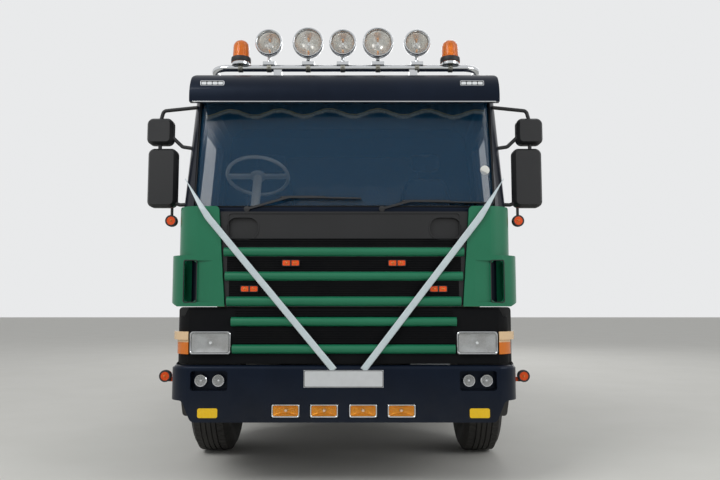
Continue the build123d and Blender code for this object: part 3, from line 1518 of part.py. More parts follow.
with BuildPart() as wiper_blades:
    for spindle, elbow, tip in wiper_rows:
        with BuildSketch(Plane.XZ.offset(-face_y + 100)):
            with BuildLine():
                Line((elbow[0] - 60, elbow[1] + 1), tip)
            trace(line_width=9)
        extrude(amount=-400)
    add(wiper_blade_band.part, mode=Mode.INTERSECT)
with BuildPart() as wipers:
    add(wiper_arms.part)
    add(wiper_blades.part)
wipers.part.label = "wipers"
export_step(wipers.part, "parts/wipers.step")

# Cab interior
driver_x = -690
dash_bottom_z = tunnel_top_z + 10
with BuildPart() as dashboard:
    with BuildSketch(Plane.YZ.offset(-1070)):
        with BuildLine():
            FilletPolyline(
                (face_y + 190, dash_bottom_z),
                (face_y + 190, 1860),
                (face_y + 470, 1900),
                (face_y + 600, 1800),
                (face_y + 560, dash_bottom_z),
                radius=20,
                close=True,
            )
        make_face()
    extrude(amount=2140)
    add(cab_space, mode=Mode.INTERSECT)
dashboard.part.label = "dashboard"
export_step(dashboard.part, "parts/dashboard.step")

wheel_tilt = 28
wheel_z = 2200
wheel_y = face_y + 770
steer_plane = Plane(
    origin=(driver_x, wheel_y, wheel_z),
    x_dir=(1, 0, 0),
    z_dir=(0, sin(radians(wheel_tilt)), cos(radians(wheel_tilt))),
)
with BuildPart() as steering_wheel:
    with BuildSketch(Plane(origin=steer_plane.origin, x_dir=steer_plane.z_dir, z_dir=steer_plane.y_dir)):
        with Locations((0, 235)):
            Circle(14)
    revolve(axis=Axis(steer_plane.origin, steer_plane.z_dir))
    with BuildSketch(steer_plane):
        Circle(60)
        Rectangle(450, 40)
    extrude(amount=12, both=True)
    with BuildSketch(steer_plane):
        Circle(34)
    extrude(amount=-420)
    add(dashboard.part, mode=Mode.SUBTRACT)
steering_wheel.part.label = "steering_wheel"
export_step(steering_wheel.part, "parts/steering_wheel.step")

seat_ys = (face_y + 1060, face_y + 1540)
seat_base_top = 1740
seat_top = 2580
seat_half = 250
# half width of the seat and the height where it is reached, from the cushion to the headrest
seat_outline = ((250, 1740), (250, 2290), (215, 2360), (140, 2390), (140, 2580))
with BuildPart() as seat_bases:
    for x in (driver_x, -driver_x):
        with Locations((x, (seat_ys[0] + seat_ys[1]) / 2 - 40, (floor_top_z + seat_base_top) / 2)):
            Box(380, 380, seat_base_top - floor_top_z)
seat_bases.part.label = "seat_bases"
export_step(seat_bases.part, "parts/seat_bases.step")

with BuildPart() as seat_pads:
    for x in (driver_x, -driver_x):
        with BuildSketch(Plane.YZ.offset(x - seat_half)):
            with BuildLine():
                FilletPolyline(
                    (seat_ys[0], seat_base_top),
                    (seat_ys[0], seat_base_top + 140),
                    (seat_ys[1] - 120, seat_base_top + 120),
                    (seat_ys[1] - 20, seat_top),
                    (seat_ys[1] + 80, seat_top),
                    (seat_ys[1], seat_base_top),
                    radius=30,
                    close=True,
                )
            make_face()
        extrude(amount=2 * seat_half)
        for sign in (1, -1):
            with BuildSketch(Plane.XZ.offset(-seat_ys[0] + 50)):
                with BuildLine():
                    Polyline(
                        *[(x + sign * half, z) for half, z in seat_outline[1:]],
                        (x + sign * seat_half * 2, seat_top + 50),
                        (x + sign * seat_half * 2, seat_outline[1][1]),
                        close=True,
                    )
                make_face()
            extrude(amount=-800, mode=Mode.SUBTRACT)
seat_pads.part.label = "seat_pads"
export_step(seat_pads.part, "parts/seat_pads.step")

# Fringed cloth inside the top of the screen, and the two ribbons
pelmet_thickness = 6
pelmet_half = 1000
pelmet_low_z = 2530
pelmet_front = hull(44, 44)
pelmet_back = hull(44 + pelmet_thickness, 44, 10)
with BuildPart() as pelmet:
    add(pelmet_front)
    add(pelmet_back, mode=Mode.SUBTRACT)
    add(slab(-pelmet_half, pelmet_half, face_y, screen_back_y, pelmet_low_z, screen_top_z - seat_gap),
        mode=Mode.INTERSECT)
pelmet.part.label = "pelmet"
export_step(pelmet.part, "parts/pelmet.step")

ribbon_width = 44
# top point, bend over the panel's edge, and foot on the plate
ribbon_rows = (
    ((-1092, 2062), (-896, 1779), (-62, 776)),
    ((1092, 2062), (910, 1779), (128, 776)),
)
ribbon_thickness = 2
with BuildPart() as ribbon_sheet:
    with BuildSketch(Plane.YZ.offset(-1150)):
        with BuildLine():
            Polyline(
                (face_y - ribbon_thickness, 776),
                (face_y - ribbon_thickness, 1840),
                (face_y + 150, 2130),
                (face_y + 150 + ribbon_thickness, 2130),
                (face_y, 1840),
                (face_y, 776),
                close=True,
            )
        make_face()
    extrude(amount=2300)
with BuildPart() as ribbon_cut:
    for top, bend, foot in ribbon_rows:
        with BuildSketch(Plane.XZ.offset(-face_y + 60)):
            with BuildLine():
                Polyline(top, bend, foot)
            trace(line_width=ribbon_width)
        extrude(amount=-300)
with BuildPart() as ribbons:
    add(ribbon_sheet.part)
    add(ribbon_cut.part, mode=Mode.INTERSECT)
ribbons.part.label = "ribbons"
export_step(ribbons.part, "parts/ribbons.step")
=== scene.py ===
import math

import bmesh
import bpy
import numpy as np
from mathutils.bvhtree import BVHTree
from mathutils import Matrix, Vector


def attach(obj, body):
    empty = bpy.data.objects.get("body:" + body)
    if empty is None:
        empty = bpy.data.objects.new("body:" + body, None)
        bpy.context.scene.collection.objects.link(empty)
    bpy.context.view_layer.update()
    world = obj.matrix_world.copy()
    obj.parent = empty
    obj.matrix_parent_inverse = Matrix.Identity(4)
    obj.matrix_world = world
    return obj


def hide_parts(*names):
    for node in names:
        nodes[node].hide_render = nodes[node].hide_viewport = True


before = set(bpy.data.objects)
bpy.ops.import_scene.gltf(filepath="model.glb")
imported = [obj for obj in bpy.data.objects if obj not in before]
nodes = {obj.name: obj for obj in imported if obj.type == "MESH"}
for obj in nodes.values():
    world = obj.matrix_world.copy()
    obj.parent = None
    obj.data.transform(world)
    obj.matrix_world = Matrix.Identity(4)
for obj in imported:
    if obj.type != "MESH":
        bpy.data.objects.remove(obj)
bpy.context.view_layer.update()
scene = bpy.context.scene
print("frame loaded:", len(nodes), "nodes")

# main places of the truck in metres; its front faces -Y
place = dict(faceY=-3.946, frontAxleY=-2.561, rearAxleY=1.889, axleZ=0.522, paintSplitZ=1.862)
faceY = place["faceY"]


def linear(hexColour):
    # each sRGB channel through the standard curve
    text = hexColour.lstrip("#")
    channels = [int(text[i:i + 2], 16) / 255 for i in (0, 2, 4)]
    return [c / 12.92 if c <= 0.04045 else ((c + 0.055) / 1.055) ** 2.4 for c in channels] + [1.0]


# camera, world and lights
view = dict(x=0.107, back=4.63, z=1.20, pitchUp=5.3, lens=35.0, sensor=36.0)
cameraData = bpy.data.cameras.new("camera")
cameraData.lens = view["lens"]
cameraData.sensor_width = view["sensor"]
cameraData.clip_end = 200
camera = bpy.data.objects.new("camera", cameraData)
camera.location = (view["x"], faceY - view["back"], view["z"])
camera.rotation_euler = (math.radians(90 + view["pitchUp"]), 0, 0)
scene.collection.objects.link(camera)
scene.camera = camera
scene.view_settings.view_transform = "Standard"


def addNode(tree, kind, inputs=None, **settings):
    # one node with its settings; inputs holds plain values or sockets to link from
    node = tree.nodes.new(kind)
    for key, value in settings.items():
        setattr(node, key, value)
    for key, value in (inputs or {}).items():
        socket = node.inputs[key]
        if isinstance(value, bpy.types.NodeSocket):
            tree.links.new(value, socket)
        else:
            socket.default_value = value
    return node


studio = dict(floorColour="#DEDDD8", skyColour="#F4F5F6", skyLight=0.50, keyPower=420.0, fillPower=210.0,
    rimPower=260.0)


def addWorld():
    world = bpy.data.worlds.new("studio")
    scene.world = world
    world.use_nodes = True
    tree = world.node_tree
    tree.nodes.clear()
    path = addNode(tree, "ShaderNodeLightPath")
    seen = addNode(tree, "ShaderNodeMath", {0: path.outputs["Is Camera Ray"], 1: path.outputs["Is Glossy Ray"]},
        operation="MAXIMUM")
    seen = addNode(tree, "ShaderNodeMath", {0: seen.outputs[0], 1: path.outputs["Is Transmission Ray"]},
        operation="MAXIMUM")
    soft = addNode(tree, "ShaderNodeBackground",
        {"Color": linear(studio["skyColour"]), "Strength": studio["skyLight"]})
    shown = addNode(tree, "ShaderNodeBackground", {"Color": linear(studio["skyColour"]), "Strength": 0.9})
    mix = addNode(tree, "ShaderNodeMixShader", {0: seen.outputs[0], 1: soft.outputs[0], 2: shown.outputs[0]})
    addNode(tree, "ShaderNodeOutputWorld", {"Surface": mix.outputs[0]})


def addLamp(name, spot, aim, size, power):
    data = bpy.data.lights.new(name, "AREA")
    data.shape = "RECTANGLE"
    data.size, data.size_y = size
    data.energy = power
    lamp = bpy.data.objects.new(name, data)
    lamp.location = spot
    direction = np.array(aim, float) - np.array(spot, float)
    lamp.rotation_euler = Vector(direction).to_track_quat("-Z", "Y").to_euler()
    scene.collection.objects.link(lamp)


addWorld()
addLamp("keyLight", (-5.5, -9.5, 8.5), (0, -2, 1.3), (5, 4), studio["keyPower"])
addLamp("fillLight", (7.5, -8.0, 5.0), (0, -2, 1.3), (5, 4), studio["fillPower"])
addLamp("backLight", (2.0, 9.0, 8.0), (0, 1, 1.5), (6, 4), studio["rimPower"])


def newMaterial(name):
    material = bpy.data.materials.new(name)
    material.use_nodes = True
    tree = material.node_tree
    tree.nodes.clear()
    shader = addNode(tree, "ShaderNodeBsdfPrincipled")
    addNode(tree, "ShaderNodeOutputMaterial", {"Surface": shader.outputs[0]})
    coords = addNode(tree, "ShaderNodeTexCoord")
    return material, tree, shader, coords.outputs["Object"]


def addRidge(tree, coords, ridge, **under):
    # straight ribs across an axis: ridge = (axis, pitchMm, depthMm)
    axis, pitchMm, depthMm = ridge
    wave = addNode(tree, "ShaderNodeTexWave", {"Vector": coords, "Scale": 314.16 / pitchMm}, wave_type="BANDS",
        bands_direction=axis)
    return addNode(tree, "ShaderNodeBump", {"Height": wave.outputs["Fac"], "Distance": depthMm / 1000,
        "Strength": 1.0, **under})


def patterned(name, colour, second, sizeMm, amount=0.5, roughness=0.4, roughSpread=0.1, bumpMm=0.2, grainMm=2.0,
              detail=3.0, ridge=None, zones=(), dirt=None, **shaderValues):
    # a colour that drifts to a second one over sizeMm, with grain in bump and roughness over grainMm.
    # ridge adds straight ribs as in addRidge; zones = (axis, from, to, colour) recolours a stretch in metres;
    # dirt = (height, amount) fades dust in from that height to the ground
    material, tree, shader, coords = newMaterial(name)
    drift = addNode(tree, "ShaderNodeTexNoise",
        {"Vector": coords, "Scale": 1000 / sizeMm, "Detail": detail, "Roughness": 0.6})
    drift = addNode(tree, "ShaderNodeMapRange",
        {"Value": drift.outputs["Fac"], "From Min": 0.35, "From Max": 0.7, "To Min": 0.0, "To Max": amount})
    mix = addNode(tree, "ShaderNodeMix", {0: drift.outputs[0], 6: linear(colour), 7: linear(second)},
        data_type="RGBA")
    colourOut = mix.outputs[2]
    apart = addNode(tree, "ShaderNodeSeparateXYZ", {0: coords})
    for axis, start, end, zoneColour in zones:
        above = addNode(tree, "ShaderNodeMath", {0: apart.outputs[axis], 1: start}, operation="GREATER_THAN")
        below = addNode(tree, "ShaderNodeMath", {0: apart.outputs[axis], 1: end}, operation="LESS_THAN")
        inside = addNode(tree, "ShaderNodeMath", {0: above.outputs[0], 1: below.outputs[0]}, operation="MULTIPLY")
        colourOut = addNode(tree, "ShaderNodeMix", {0: inside.outputs[0], 6: colourOut, 7: linear(zoneColour)},
            data_type="RGBA").outputs[2]
    if dirt:
        height, dirtAmount = dirt
        low = addNode(tree, "ShaderNodeMapRange",
            {"Value": apart.outputs["Z"], "From Min": 0.0, "From Max": height, "To Min": dirtAmount, "To Max": 0.0})
        patch = addNode(tree, "ShaderNodeTexNoise", {"Vector": coords, "Scale": 9.0, "Detail": 5.0, "Roughness": 0.7})
        film = addNode(tree, "ShaderNodeMath", {0: low.outputs[0], 1: patch.outputs["Fac"]}, operation="MULTIPLY")
        colourOut = addNode(tree, "ShaderNodeMix", {0: film.outputs[0], 6: colourOut, 7: linear(paint["dust"])},
            data_type="RGBA").outputs[2]
    tree.links.new(colourOut, shader.inputs["Base Color"])
    grain = addNode(tree, "ShaderNodeTexNoise", {"Vector": coords, "Scale": 1000 / grainMm, "Detail": 2.0})
    rough = addNode(tree, "ShaderNodeMapRange",
        {"Value": drift.outputs[0], "From Min": 0.0, "From Max": amount, "To Min": roughness,
        "To Max": roughness + roughSpread})
    tree.links.new(rough.outputs[0], shader.inputs["Roughness"])
    bump = addNode(tree, "ShaderNodeBump", {"Height": grain.outputs["Fac"], "Distance": bumpMm / 1000,
        "Strength": 0.6})
    if ridge:
        bump = addRidge(tree, coords, ridge, Normal=bump.outputs["Normal"])
    tree.links.new(bump.outputs["Normal"], shader.inputs["Normal"])
    for key, value in shaderValues.items():
        shader.inputs[key].default_value = value
    return material


splitZ = place["paintSplitZ"]
paint = dict(green="#146D4C", greenDust="#1F7B59", navy="#0A111E", navyDust="#111A29", dust="#5E5A50",
    navyShine="#A3B8DA")
glossPaint = {"Coat Weight": 0.3, "Coat Roughness": 0.05, "Specular IOR Level": 0.25}
darkGloss = {"Coat Weight": 0.1, "Coat Roughness": 0.05, "Specular IOR Level": 0.2,
    "Specular Tint": linear(paint["navyShine"])}
# two-pack enamel on steel: deep gloss clear coat, fine orange peel, road dust that dulls it in patches
greenEnamel = patterned("greenEnamel", paint["green"], paint["greenDust"], 420, 0.35, 0.34, 0.12, 0.05, 9.0,
    **glossPaint)
navyEnamel = patterned("navyEnamel", paint["navy"], paint["navyDust"], 380, 0.5, 0.3, 0.14, 0.05, 9.0,
    dirt=(0.75, 0.35), **darkGloss)
# the cab's two colours meet in one masked line at the foot of the windows
twoToneEnamel = patterned("twoToneEnamel", paint["green"], paint["greenDust"], 420, 0.35, 0.34, 0.12, 0.05, 9.0,
    zones=(("Z", splitZ, 4.0, paint["navy"]),), **glossPaint)
# textured ABS: dull black with a fine moulded grain
grainedAbs = patterned("grainedAbs", "#131416", "#1D1E21", 160, 0.6, 0.5, 0.15, 0.25, 1.8, dirt=(1.3, 0.4))
# glass-filled nylon: smoother black moulding behind the slats
mouldedNylon = patterned("mouldedNylon", "#0B0C0E", "#15161A", 220, 0.5, 0.42, 0.15, 0.15, 2.4)
# the same moulding painted matt and nearly black, with a weaker reflection, as painted shade where the slats shade it
paintedShadeNylon = patterned("paintedShadeNylon", "#07080A", "#0E0F13", 220, 0.5, 0.7, 0.15, 0.15, 2.4,
    **{"Specular IOR Level": 0.14})
# chassis enamel: satin dark grey over steel with road dirt
chassisPaint = patterned("chassisPaint", "#1E2023", "#34322E", 260, 0.7, 0.5, 0.25, 0.3, 3.0, dirt=(1.2, 0.7))
# cast iron and mill steel under the truck
castSteel = patterned("castSteel", "#2B2B2B", "#463F38", 140, 0.7, 0.55, 0.25, 0.5, 2.2, dirt=(1.2, 0.6),
    Metallic=0.35)
# rolled aluminium: brushed grey with small dents
rolledAluminium = patterned("rolledAluminium", "#B4B7B9", "#979A9C", 300, 0.6, 0.32, 0.2, 0.1, 1.4, Metallic=1.0)
# anodised aluminium boards: pale satin with fine extruded lines
anodisedAluminium = patterned("anodisedAluminium", "#B9BCBE", "#A2A6A9", 240, 0.6, 0.38, 0.15, 0.1, 1.2,
    ridge=("Z", 22, 0.4), Metallic=0.9)
# chrome plate on steel: bright with faint haze
chromePlate = patterned("chromePlate", "#D4D6D8", "#BFC2C5", 200, 0.4, 0.06, 0.06, 0.03, 3.0, Metallic=1.0)
# vacuum-coated reflector: mirror bright, stepped in fine facets
reflectorCoat = patterned("reflectorCoat", "#EEEDE8", "#DAD6CB", 40, 0.6, 0.24, 0.1, 0.4, 9.0, Metallic=0.85)
amberReflector = patterned("amberReflector", "#EFA030", "#CF7A18", 30, 0.7, 0.26, 0.1, 0.4, 8.0, Metallic=0.6)
# silver wheel enamel with brake dust
wheelEnamel = patterned("wheelEnamel", "#A3A5A6", "#6E6A64", 120, 0.7, 0.42, 0.2, 0.2, 2.0, Metallic=0.4)
# zinc-plated steel fixings
zincSteel = patterned("zincSteel", "#A8A79E", "#8D8B80", 60, 0.7, 0.34, 0.15, 0.1, 2.0, Metallic=0.9)
# carbon-black rubber: near black, dusty, no clear shine
tyreRubber = patterned("tyreRubber", "#17171A", "#2C2B29", 90, 0.6, 0.72, 0.15, 0.3, 1.6, dirt=(0.8, 0.35))
# extruded EPDM seal: dull black with a soft edge
sealRubber = patterned("sealRubber", "#0E0E10", "#18181A", 120, 0.6, 0.62, 0.1, 0.1, 1.2)
# phenolic-faced birch ply: brown deck with scuffs and board joints across it
deckPly = patterned("deckPly", "#4A3527", "#6B5240", 300, 0.8, 0.6, 0.2, 0.4, 3.0, ridge=("X", 122, 2.0))
# moulded polypropylene trim inside the cab
cabTrim = patterned("cabTrim", "#4A4C50", "#3E4044", 180, 0.5, 0.6, 0.12, 0.2, 1.6)
# pale polyurethane steering wheel rim
paleRim = patterned("paleRim", "#E8E7E0", "#D6D4CA", 90, 0.5, 0.5, 0.1, 0.15, 1.4)
# ribbed cab floor rubber
floorRubber = patterned("floorRubber", "#232427", "#303135", 80, 0.6, 0.8, 0.1, 0.5, 2.0, ridge=("Y", 12, 1.0))
# woven wool seat cloth, threads 3 mm apart so that they show
seatCloth = patterned("seatCloth", "#3B4250", "#2C313C", 30, 0.7, 0.85, 0.08, 0.6, 1.4, ridge=("X", 3.0, 0.5),
    **{"Sheen Weight": 0.4})
# reflective sheet: white plate with nothing on it
plateSheet = patterned("plateSheet", "#CDD0D2", "#C1C4C6", 60, 0.5, 0.4, 0.1, 0.02, 12.0)
# pigmented acrylic lenses, ribbed inside
amberAcrylic = patterned("amberAcrylic", "#F4560A", "#E44604", 30, 0.4, 0.12, 0.05, 0.25, 3.0, ridge=("X", 9, 0.9),
    zones=(("Z", 0.0, 0.56, "#EFC21C"), ("Z", 0.86, 0.955, "#DE7A2A"), ("Z", 0.955, 1.03, "#E9C9A0")),
    **{"Coat Weight": 0.15, "Specular IOR Level": 0.3})
beaconAcrylic = patterned("beaconAcrylic", "#F5820F", "#EA6404", 40, 0.5, 0.1, 0.06, 0.2, 4.0, ridge=("Z", 11, 1.2),
    **{"Coat Weight": 0.25, "Specular IOR Level": 0.3, "Transmission Weight": 0.35})
redAcrylic = patterned("redAcrylic", "#B8140F", "#9D0E0C", 30, 0.4, 0.14, 0.05, 0.25, 3.0, ridge=("X", 10, 0.8),
    **{"Coat Weight": 0.6})
# satin ribbon, weft lines 1.5 mm apart so that they show
satinRibbon = patterned("satinRibbon", "#CBD8DC", "#B9C8CE", 70, 0.5, 0.34, 0.1, 0.1, 1.0, ridge=("Z", 1.5, 0.05),
    **{"Sheen Weight": 0.5})
# pelmet cloth, gilt braid and cotton fringe
pelmetVelvet = patterned("pelmetVelvet", "#12131A", "#1D1F28", 40, 0.6, 0.85, 0.1, 0.4, 1.5, **{"Sheen Weight": 0.8})
giltBraid = patterned("giltBraid", "#E2CF86", "#C4AE66", 8, 0.8, 0.4, 0.1, 0.5, 2.0, ridge=("X", 4, 0.6),
    Metallic=0.1)
cottonFringe = patterned("cottonFringe", "#F0EFDC", "#DFDCC0", 12, 0.6, 0.8, 0.1, 0.4, 1.2, **{"Sheen Weight": 0.3})
# first-surface mirror with a slight blue tint
mirrorSilver = patterned("mirrorSilver", "#C7CFD6", "#BCC6CE", 500, 0.3, 0.03, 0.02, 0.01, 9.0, Metallic=1.0)
# matt vinyl disc
paleVinyl = patterned("paleVinyl", "#E4E4DE", "#D6D6CF", 20, 0.5, 0.4, 0.1, 0.05, 1.0)
# woven polyester belt webbing, threads 3 mm apart so that they show
webbing = patterned("webbing", "#1B1C1F", "#26282C", 30, 0.5, 0.7, 0.1, 0.2, 1.2, ridge=("Z", 3.0, 0.3),
    **{"Sheen Weight": 0.3})
# white light emitting strip behind a clear cover
lampWhite = patterned("lampWhite", "#EDF0F2", "#D5DADF", 12, 0.5, 0.2, 0.05, 0.2, 3.0, ridge=("X", 12, 0.8),
    **{"Coat Weight": 0.6})


def glassMaterial(name, colour, alpha, roughness=0.02, ridge=None, rear=None):
    # a pane as a tinted film over what lies behind: alpha is the share of the view it takes; dust dulls it.
    # rear = (y, alpha, colour) makes every pane behind that y darker and less clear, as painted shade; ridge as in
    # addRidge
    material, tree, shader, coords = newMaterial(name)
    dust = addNode(tree, "ShaderNodeTexNoise", {"Vector": coords, "Scale": 3.0, "Detail": 4.0})
    rough = addNode(tree, "ShaderNodeMapRange",
        {"Value": dust.outputs["Fac"], "From Min": 0.4, "From Max": 0.8, "To Min": roughness,
        "To Max": roughness + 0.04})
    tree.links.new(rough.outputs[0], shader.inputs["Roughness"])
    shader.inputs["Base Color"].default_value = linear(colour)
    shader.inputs["IOR"].default_value = 1.52
    shader.inputs["Alpha"].default_value = alpha
    if rear:
        apart = addNode(tree, "ShaderNodeSeparateXYZ", {0: coords})
        fade = addNode(tree, "ShaderNodeMapRange",
            {"Value": apart.outputs["Y"], "From Min": rear[0] - 0.05, "From Max": rear[0], "To Min": alpha,
            "To Max": rear[1]})
        tree.links.new(fade.outputs[0], shader.inputs["Alpha"])
        behind = addNode(tree, "ShaderNodeMath", {0: apart.outputs["Y"], 1: rear[0]}, operation="GREATER_THAN")
        tint = addNode(tree, "ShaderNodeMix", {0: behind.outputs[0], 6: linear(colour), 7: linear(rear[2])},
            data_type="RGBA")
        tree.links.new(tint.outputs[2], shader.inputs["Base Color"])
    if ridge:
        tree.links.new(addRidge(tree, coords, ridge).outputs["Normal"], shader.inputs["Normal"])
    return material


# laminated screen and the doors' toughened panes in a blue that is partly their real tint and partly painted sky
# reflection, and a rear pane made dark and nearly opaque as painted shade
tintedGlassWithPaintedSkyAndShade = glassMaterial("tintedGlassWithPaintedSkyAndShade", "#174A6C", 0.30, 0.08, rear=(faceY + 1.500, 0.93, "#131C23"))
# pressed lamp lens with upright flutes 9 mm apart, clear or amber, and the plain ones
flutedGlass = glassMaterial("flutedGlass", "#E9ECEC", 0.11, 0.08, ridge=("X", 9, 0.25))
amberGlass = glassMaterial("amberGlass", "#F3AE3C", 0.19, 0.08, ridge=("X", 9, 0.25))
clearGlass = glassMaterial("clearGlass", "#EDEFEC", 0.14, 0.04)


finishes = (
    (castSteel, "engine propshaft front_axle rear_axle springs knuckle_left knuckle_right"),
    (chassisPaint, "chassis_frame chassis_boxes rear_bar"),
    (rolledAluminium, "fuel_tank"),
    (anodisedAluminium, "side_guards headboard dropside_left dropside_right tailboard"),
    (deckPly, "load_deck"),
    (redAcrylic, "rear_lamps"),
    (grainedAbs, "mudguards entry_steps mirrors wipers"),
    (navyEnamel, "front_bumper cab_front_wall cab_roof sun_visor"),
    (greenEnamel, "grille_slats corner_deflectors"),
    (twoToneEnamel, "cab_sides cab_rear_wall door_left_panel door_right_panel"),
    (tintedGlassWithPaintedSkyAndShade, "cab_glass door_left_glass door_right_glass"),
    # the lower panel in the darker, matt copy of the moulding, as painted shade
    (paintedShadeNylon, "lower_front_panel"),
    (mouldedNylon, "upper_front_panel"),
    (plateSheet, "number_plate"),
    (amberAcrylic, "amber_lamps"),
    (beaconAcrylic, "beacons"),
    (chromePlate, "light_bar"),
    (floorRubber, "cab_floor"),
    (cabTrim, "dashboard seat_bases"),
    (paleRim, "steering_wheel"),
    (wheelEnamel, "front_left_rim front_right_rim rear_left_rims rear_right_rims"),
    # these are replaced further down by detailed pieces, and keep a finish for their solids
    (clearGlass, "front_lamps"),
    (chromePlate, "spot_lamps"),
    (seatCloth, "seat_pads"),
    (pelmetVelvet, "pelmet"),
    (satinRibbon, "ribbons"),
    (tyreRubber, "front_left_tyre front_right_tyre rear_left_tyres rear_right_tyres"),
)
for material, nodeNames in finishes:
    for nodeName in nodeNames.split():
        slots = nodes[nodeName].data.materials
        slots.clear()
        slots.append(material)
print("finishes set")


# shapes: a shell is (points as an (n, 3) array, faces as lists of indices)
def gridFaces(rows, columns, wrapRows=False, wrapColumns=False):
    # quads between neighbouring rows and columns of points, joined round where wrapped
    r, c = np.meshgrid(np.arange(rows if wrapRows else rows - 1), np.arange(columns if wrapColumns else columns - 1),
        indexing="ij")
    r2, c2 = (r + 1) % rows, (c + 1) % columns
    quads = np.stack([r * columns + c, r * columns + c2, r2 * columns + c2, r2 * columns + c], -1)
    return quads.reshape(-1, 4).tolist()


def stackShell(loops, wrapRows=False, caps=True):
    # loops (k, m, 3): closed rings of points, skinned in order, with flat ends or joined last to first
    rows, columns = loops.shape[:2]
    faces = gridFaces(rows, columns, wrapRows, True)
    if caps and not wrapRows:
        faces += [list(range(columns))[::-1], list(range((rows - 1) * columns, rows * columns))]
    return loops.reshape(-1, 3), faces


def latheShell(profile, steps=40, closed=False):
    # rows of (radius, along) turned round the local depth axis: (r cos a, r sin a, along)
    profile = np.asarray(profile, float)
    a = np.linspace(0, 2 * math.pi, steps, endpoint=False)
    loops = pointRows(profile[:, :1] * np.cos(a), profile[:, :1] * np.sin(a), profile[:, 1:2])
    return stackShell(loops, wrapRows=closed, caps=False)


def roundedOutline(width, height, radius, steps=6):
    # a rectangle whose four corners are quarter circles: centre of the corner + radius (cos a, sin a)
    a = np.linspace(0, math.pi / 2, steps)
    corners = [(1, 1, 0), (-1, 1, 1), (-1, -1, 2), (1, -1, 3)]
    parts = []
    for sx, sy, quarter in corners:
        turned = a + quarter * math.pi / 2
        x = sx * (width / 2 - radius) + radius * np.cos(turned)
        y = sy * (height / 2 - radius) + radius * np.sin(turned)
        parts.append(np.stack([x, y], -1))
    return np.concatenate(parts)


def lift(outline, along, shrink=0.0):
    # an outline at one depth, drawn towards its middle by shrink
    half = np.abs(outline).max(0)
    points = outline * (1 - shrink / half)
    return np.concatenate([points, np.full((len(points), 1), along)], 1)


def prismShell(outline, depth, edge=0.001):
    # an outline carried along the depth, its two rims eased by edge
    loops = [lift(outline, 0, edge), lift(outline, edge), lift(outline, depth - edge), lift(outline, depth, edge)]
    return stackShell(np.stack(loops))


def frameShell(outline, width, depth, edge=0.001):
    # a frame of that width round an outline: outer wall, then inner wall, joined front and back
    loops = [lift(outline, 0, edge), lift(outline, edge), lift(outline, depth), lift(outline, depth, width),
        lift(outline, edge, width), lift(outline, 0, width - edge)]
    return stackShell(np.stack(loops), wrapRows=True)


def roundedFrame(width, height, radius, border, depth, edge=0.001):
    return frameShell(roundedOutline(width, height, radius), border, depth, edge)


def roundedSlab(width, height, radius, depth, edge=0.001):
    return prismShell(roundedOutline(width, height, radius), depth, edge)


def boxShell(low, high, edge=0.002):
    # a block between two corners with its long edges eased
    low, high = np.array(low, float), np.array(high, float)
    size = high - low
    points, faces = prismShell(roundedOutline(size[0], size[2], min(edge, size[0] / 3, size[2] / 3), 3), size[1],
        min(edge, size[1] / 3))
    return points[:, [0, 2, 1]] + np.array([(low[0] + high[0]) / 2, low[1], (low[2] + high[2]) / 2]), faces


def pointRows(x, y, z):
    # an array of points from three coordinates; a single value is used for every point
    return np.stack(np.broadcast_arrays(x, y, z), -1)


def sweepShell(path, section, up=(0, 0, 1), closed=False):
    # a section (m, 2) carried along a path: point + a side + b rise, with side = tangent x up
    path = np.asarray(path, float)
    if closed:
        tangent = np.roll(path, -1, 0) - np.roll(path, 1, 0)
    else:
        tangent = np.gradient(path, axis=0)
    tangent /= np.linalg.norm(tangent, axis=1, keepdims=True)
    side = np.cross(tangent, np.asarray(up, float))
    side /= np.linalg.norm(side, axis=1, keepdims=True)
    rise = np.cross(side, tangent)
    section = np.asarray(section, float)
    loops = path[:, None] + section[None, :, :1] * side[:, None] + section[None, :, 1:] * rise[:, None]
    return stackShell(loops, wrapRows=closed)


def roundSection(radius, sides=12):
    a = np.linspace(0, 2 * math.pi, sides, endpoint=False)
    return np.stack([radius * np.cos(a), radius * np.sin(a)], -1)


# the axes for a shell whose depth runs up, and the truck's two sides
upright = ((1, 0, 0), (0, 1, 0), (0, 0, 1))
sides = (("left", 1), ("right", -1))


def placed(shell, origin, across=(1, 0, 0), upward=(0, 0, 1), inward=(0, 1, 0)):
    # local (a, b, depth) becomes origin + a across + b upward + depth inward
    points, faces = shell
    return points @ np.array([across, upward, inward], float) + np.asarray(origin, float), faces


def flipped(shell):
    # the same shell on the truck's other side
    return shell[0] * np.array([-1, 1, 1]), shell[1]


def both(shells):
    return shells + [flipped(shell) for shell in shells]


def addPiece(name, shells, material, body="truck", angle=35, stands=()):
    # one object from many shells: doubles merged, normals outwards, sharp only above the angle
    points, faces, start = [], [], 0
    for shellPoints, shellFaces in shells:
        points.append(shellPoints)
        faces += [[index + start for index in face] for face in shellFaces]
        start += len(shellPoints)
    mesh = bpy.data.meshes.new(name)
    mesh.from_pydata(np.concatenate(points).tolist(), [], faces)
    work = bmesh.new()
    work.from_mesh(mesh)
    bmesh.ops.remove_doubles(work, verts=work.verts, dist=1e-6)
    bmesh.ops.recalc_face_normals(work, faces=work.faces)
    work.to_mesh(mesh)
    work.free()
    mesh.polygons.foreach_set("use_smooth", np.ones(len(mesh.polygons), bool))
    mesh.set_sharp_from_angle(angle=math.radians(angle))
    mesh.materials.append(material)
    piece = bpy.data.objects.new(name, mesh)
    scene.collection.objects.link(piece)
    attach(piece, body)
    for node in stands:
        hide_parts(node)
    return piece


def surfaceTree(nodeName):
    mesh = nodes[nodeName].data
    return BVHTree.FromPolygons([tuple(v.co) for v in mesh.vertices], [tuple(p.vertices) for p in mesh.polygons])


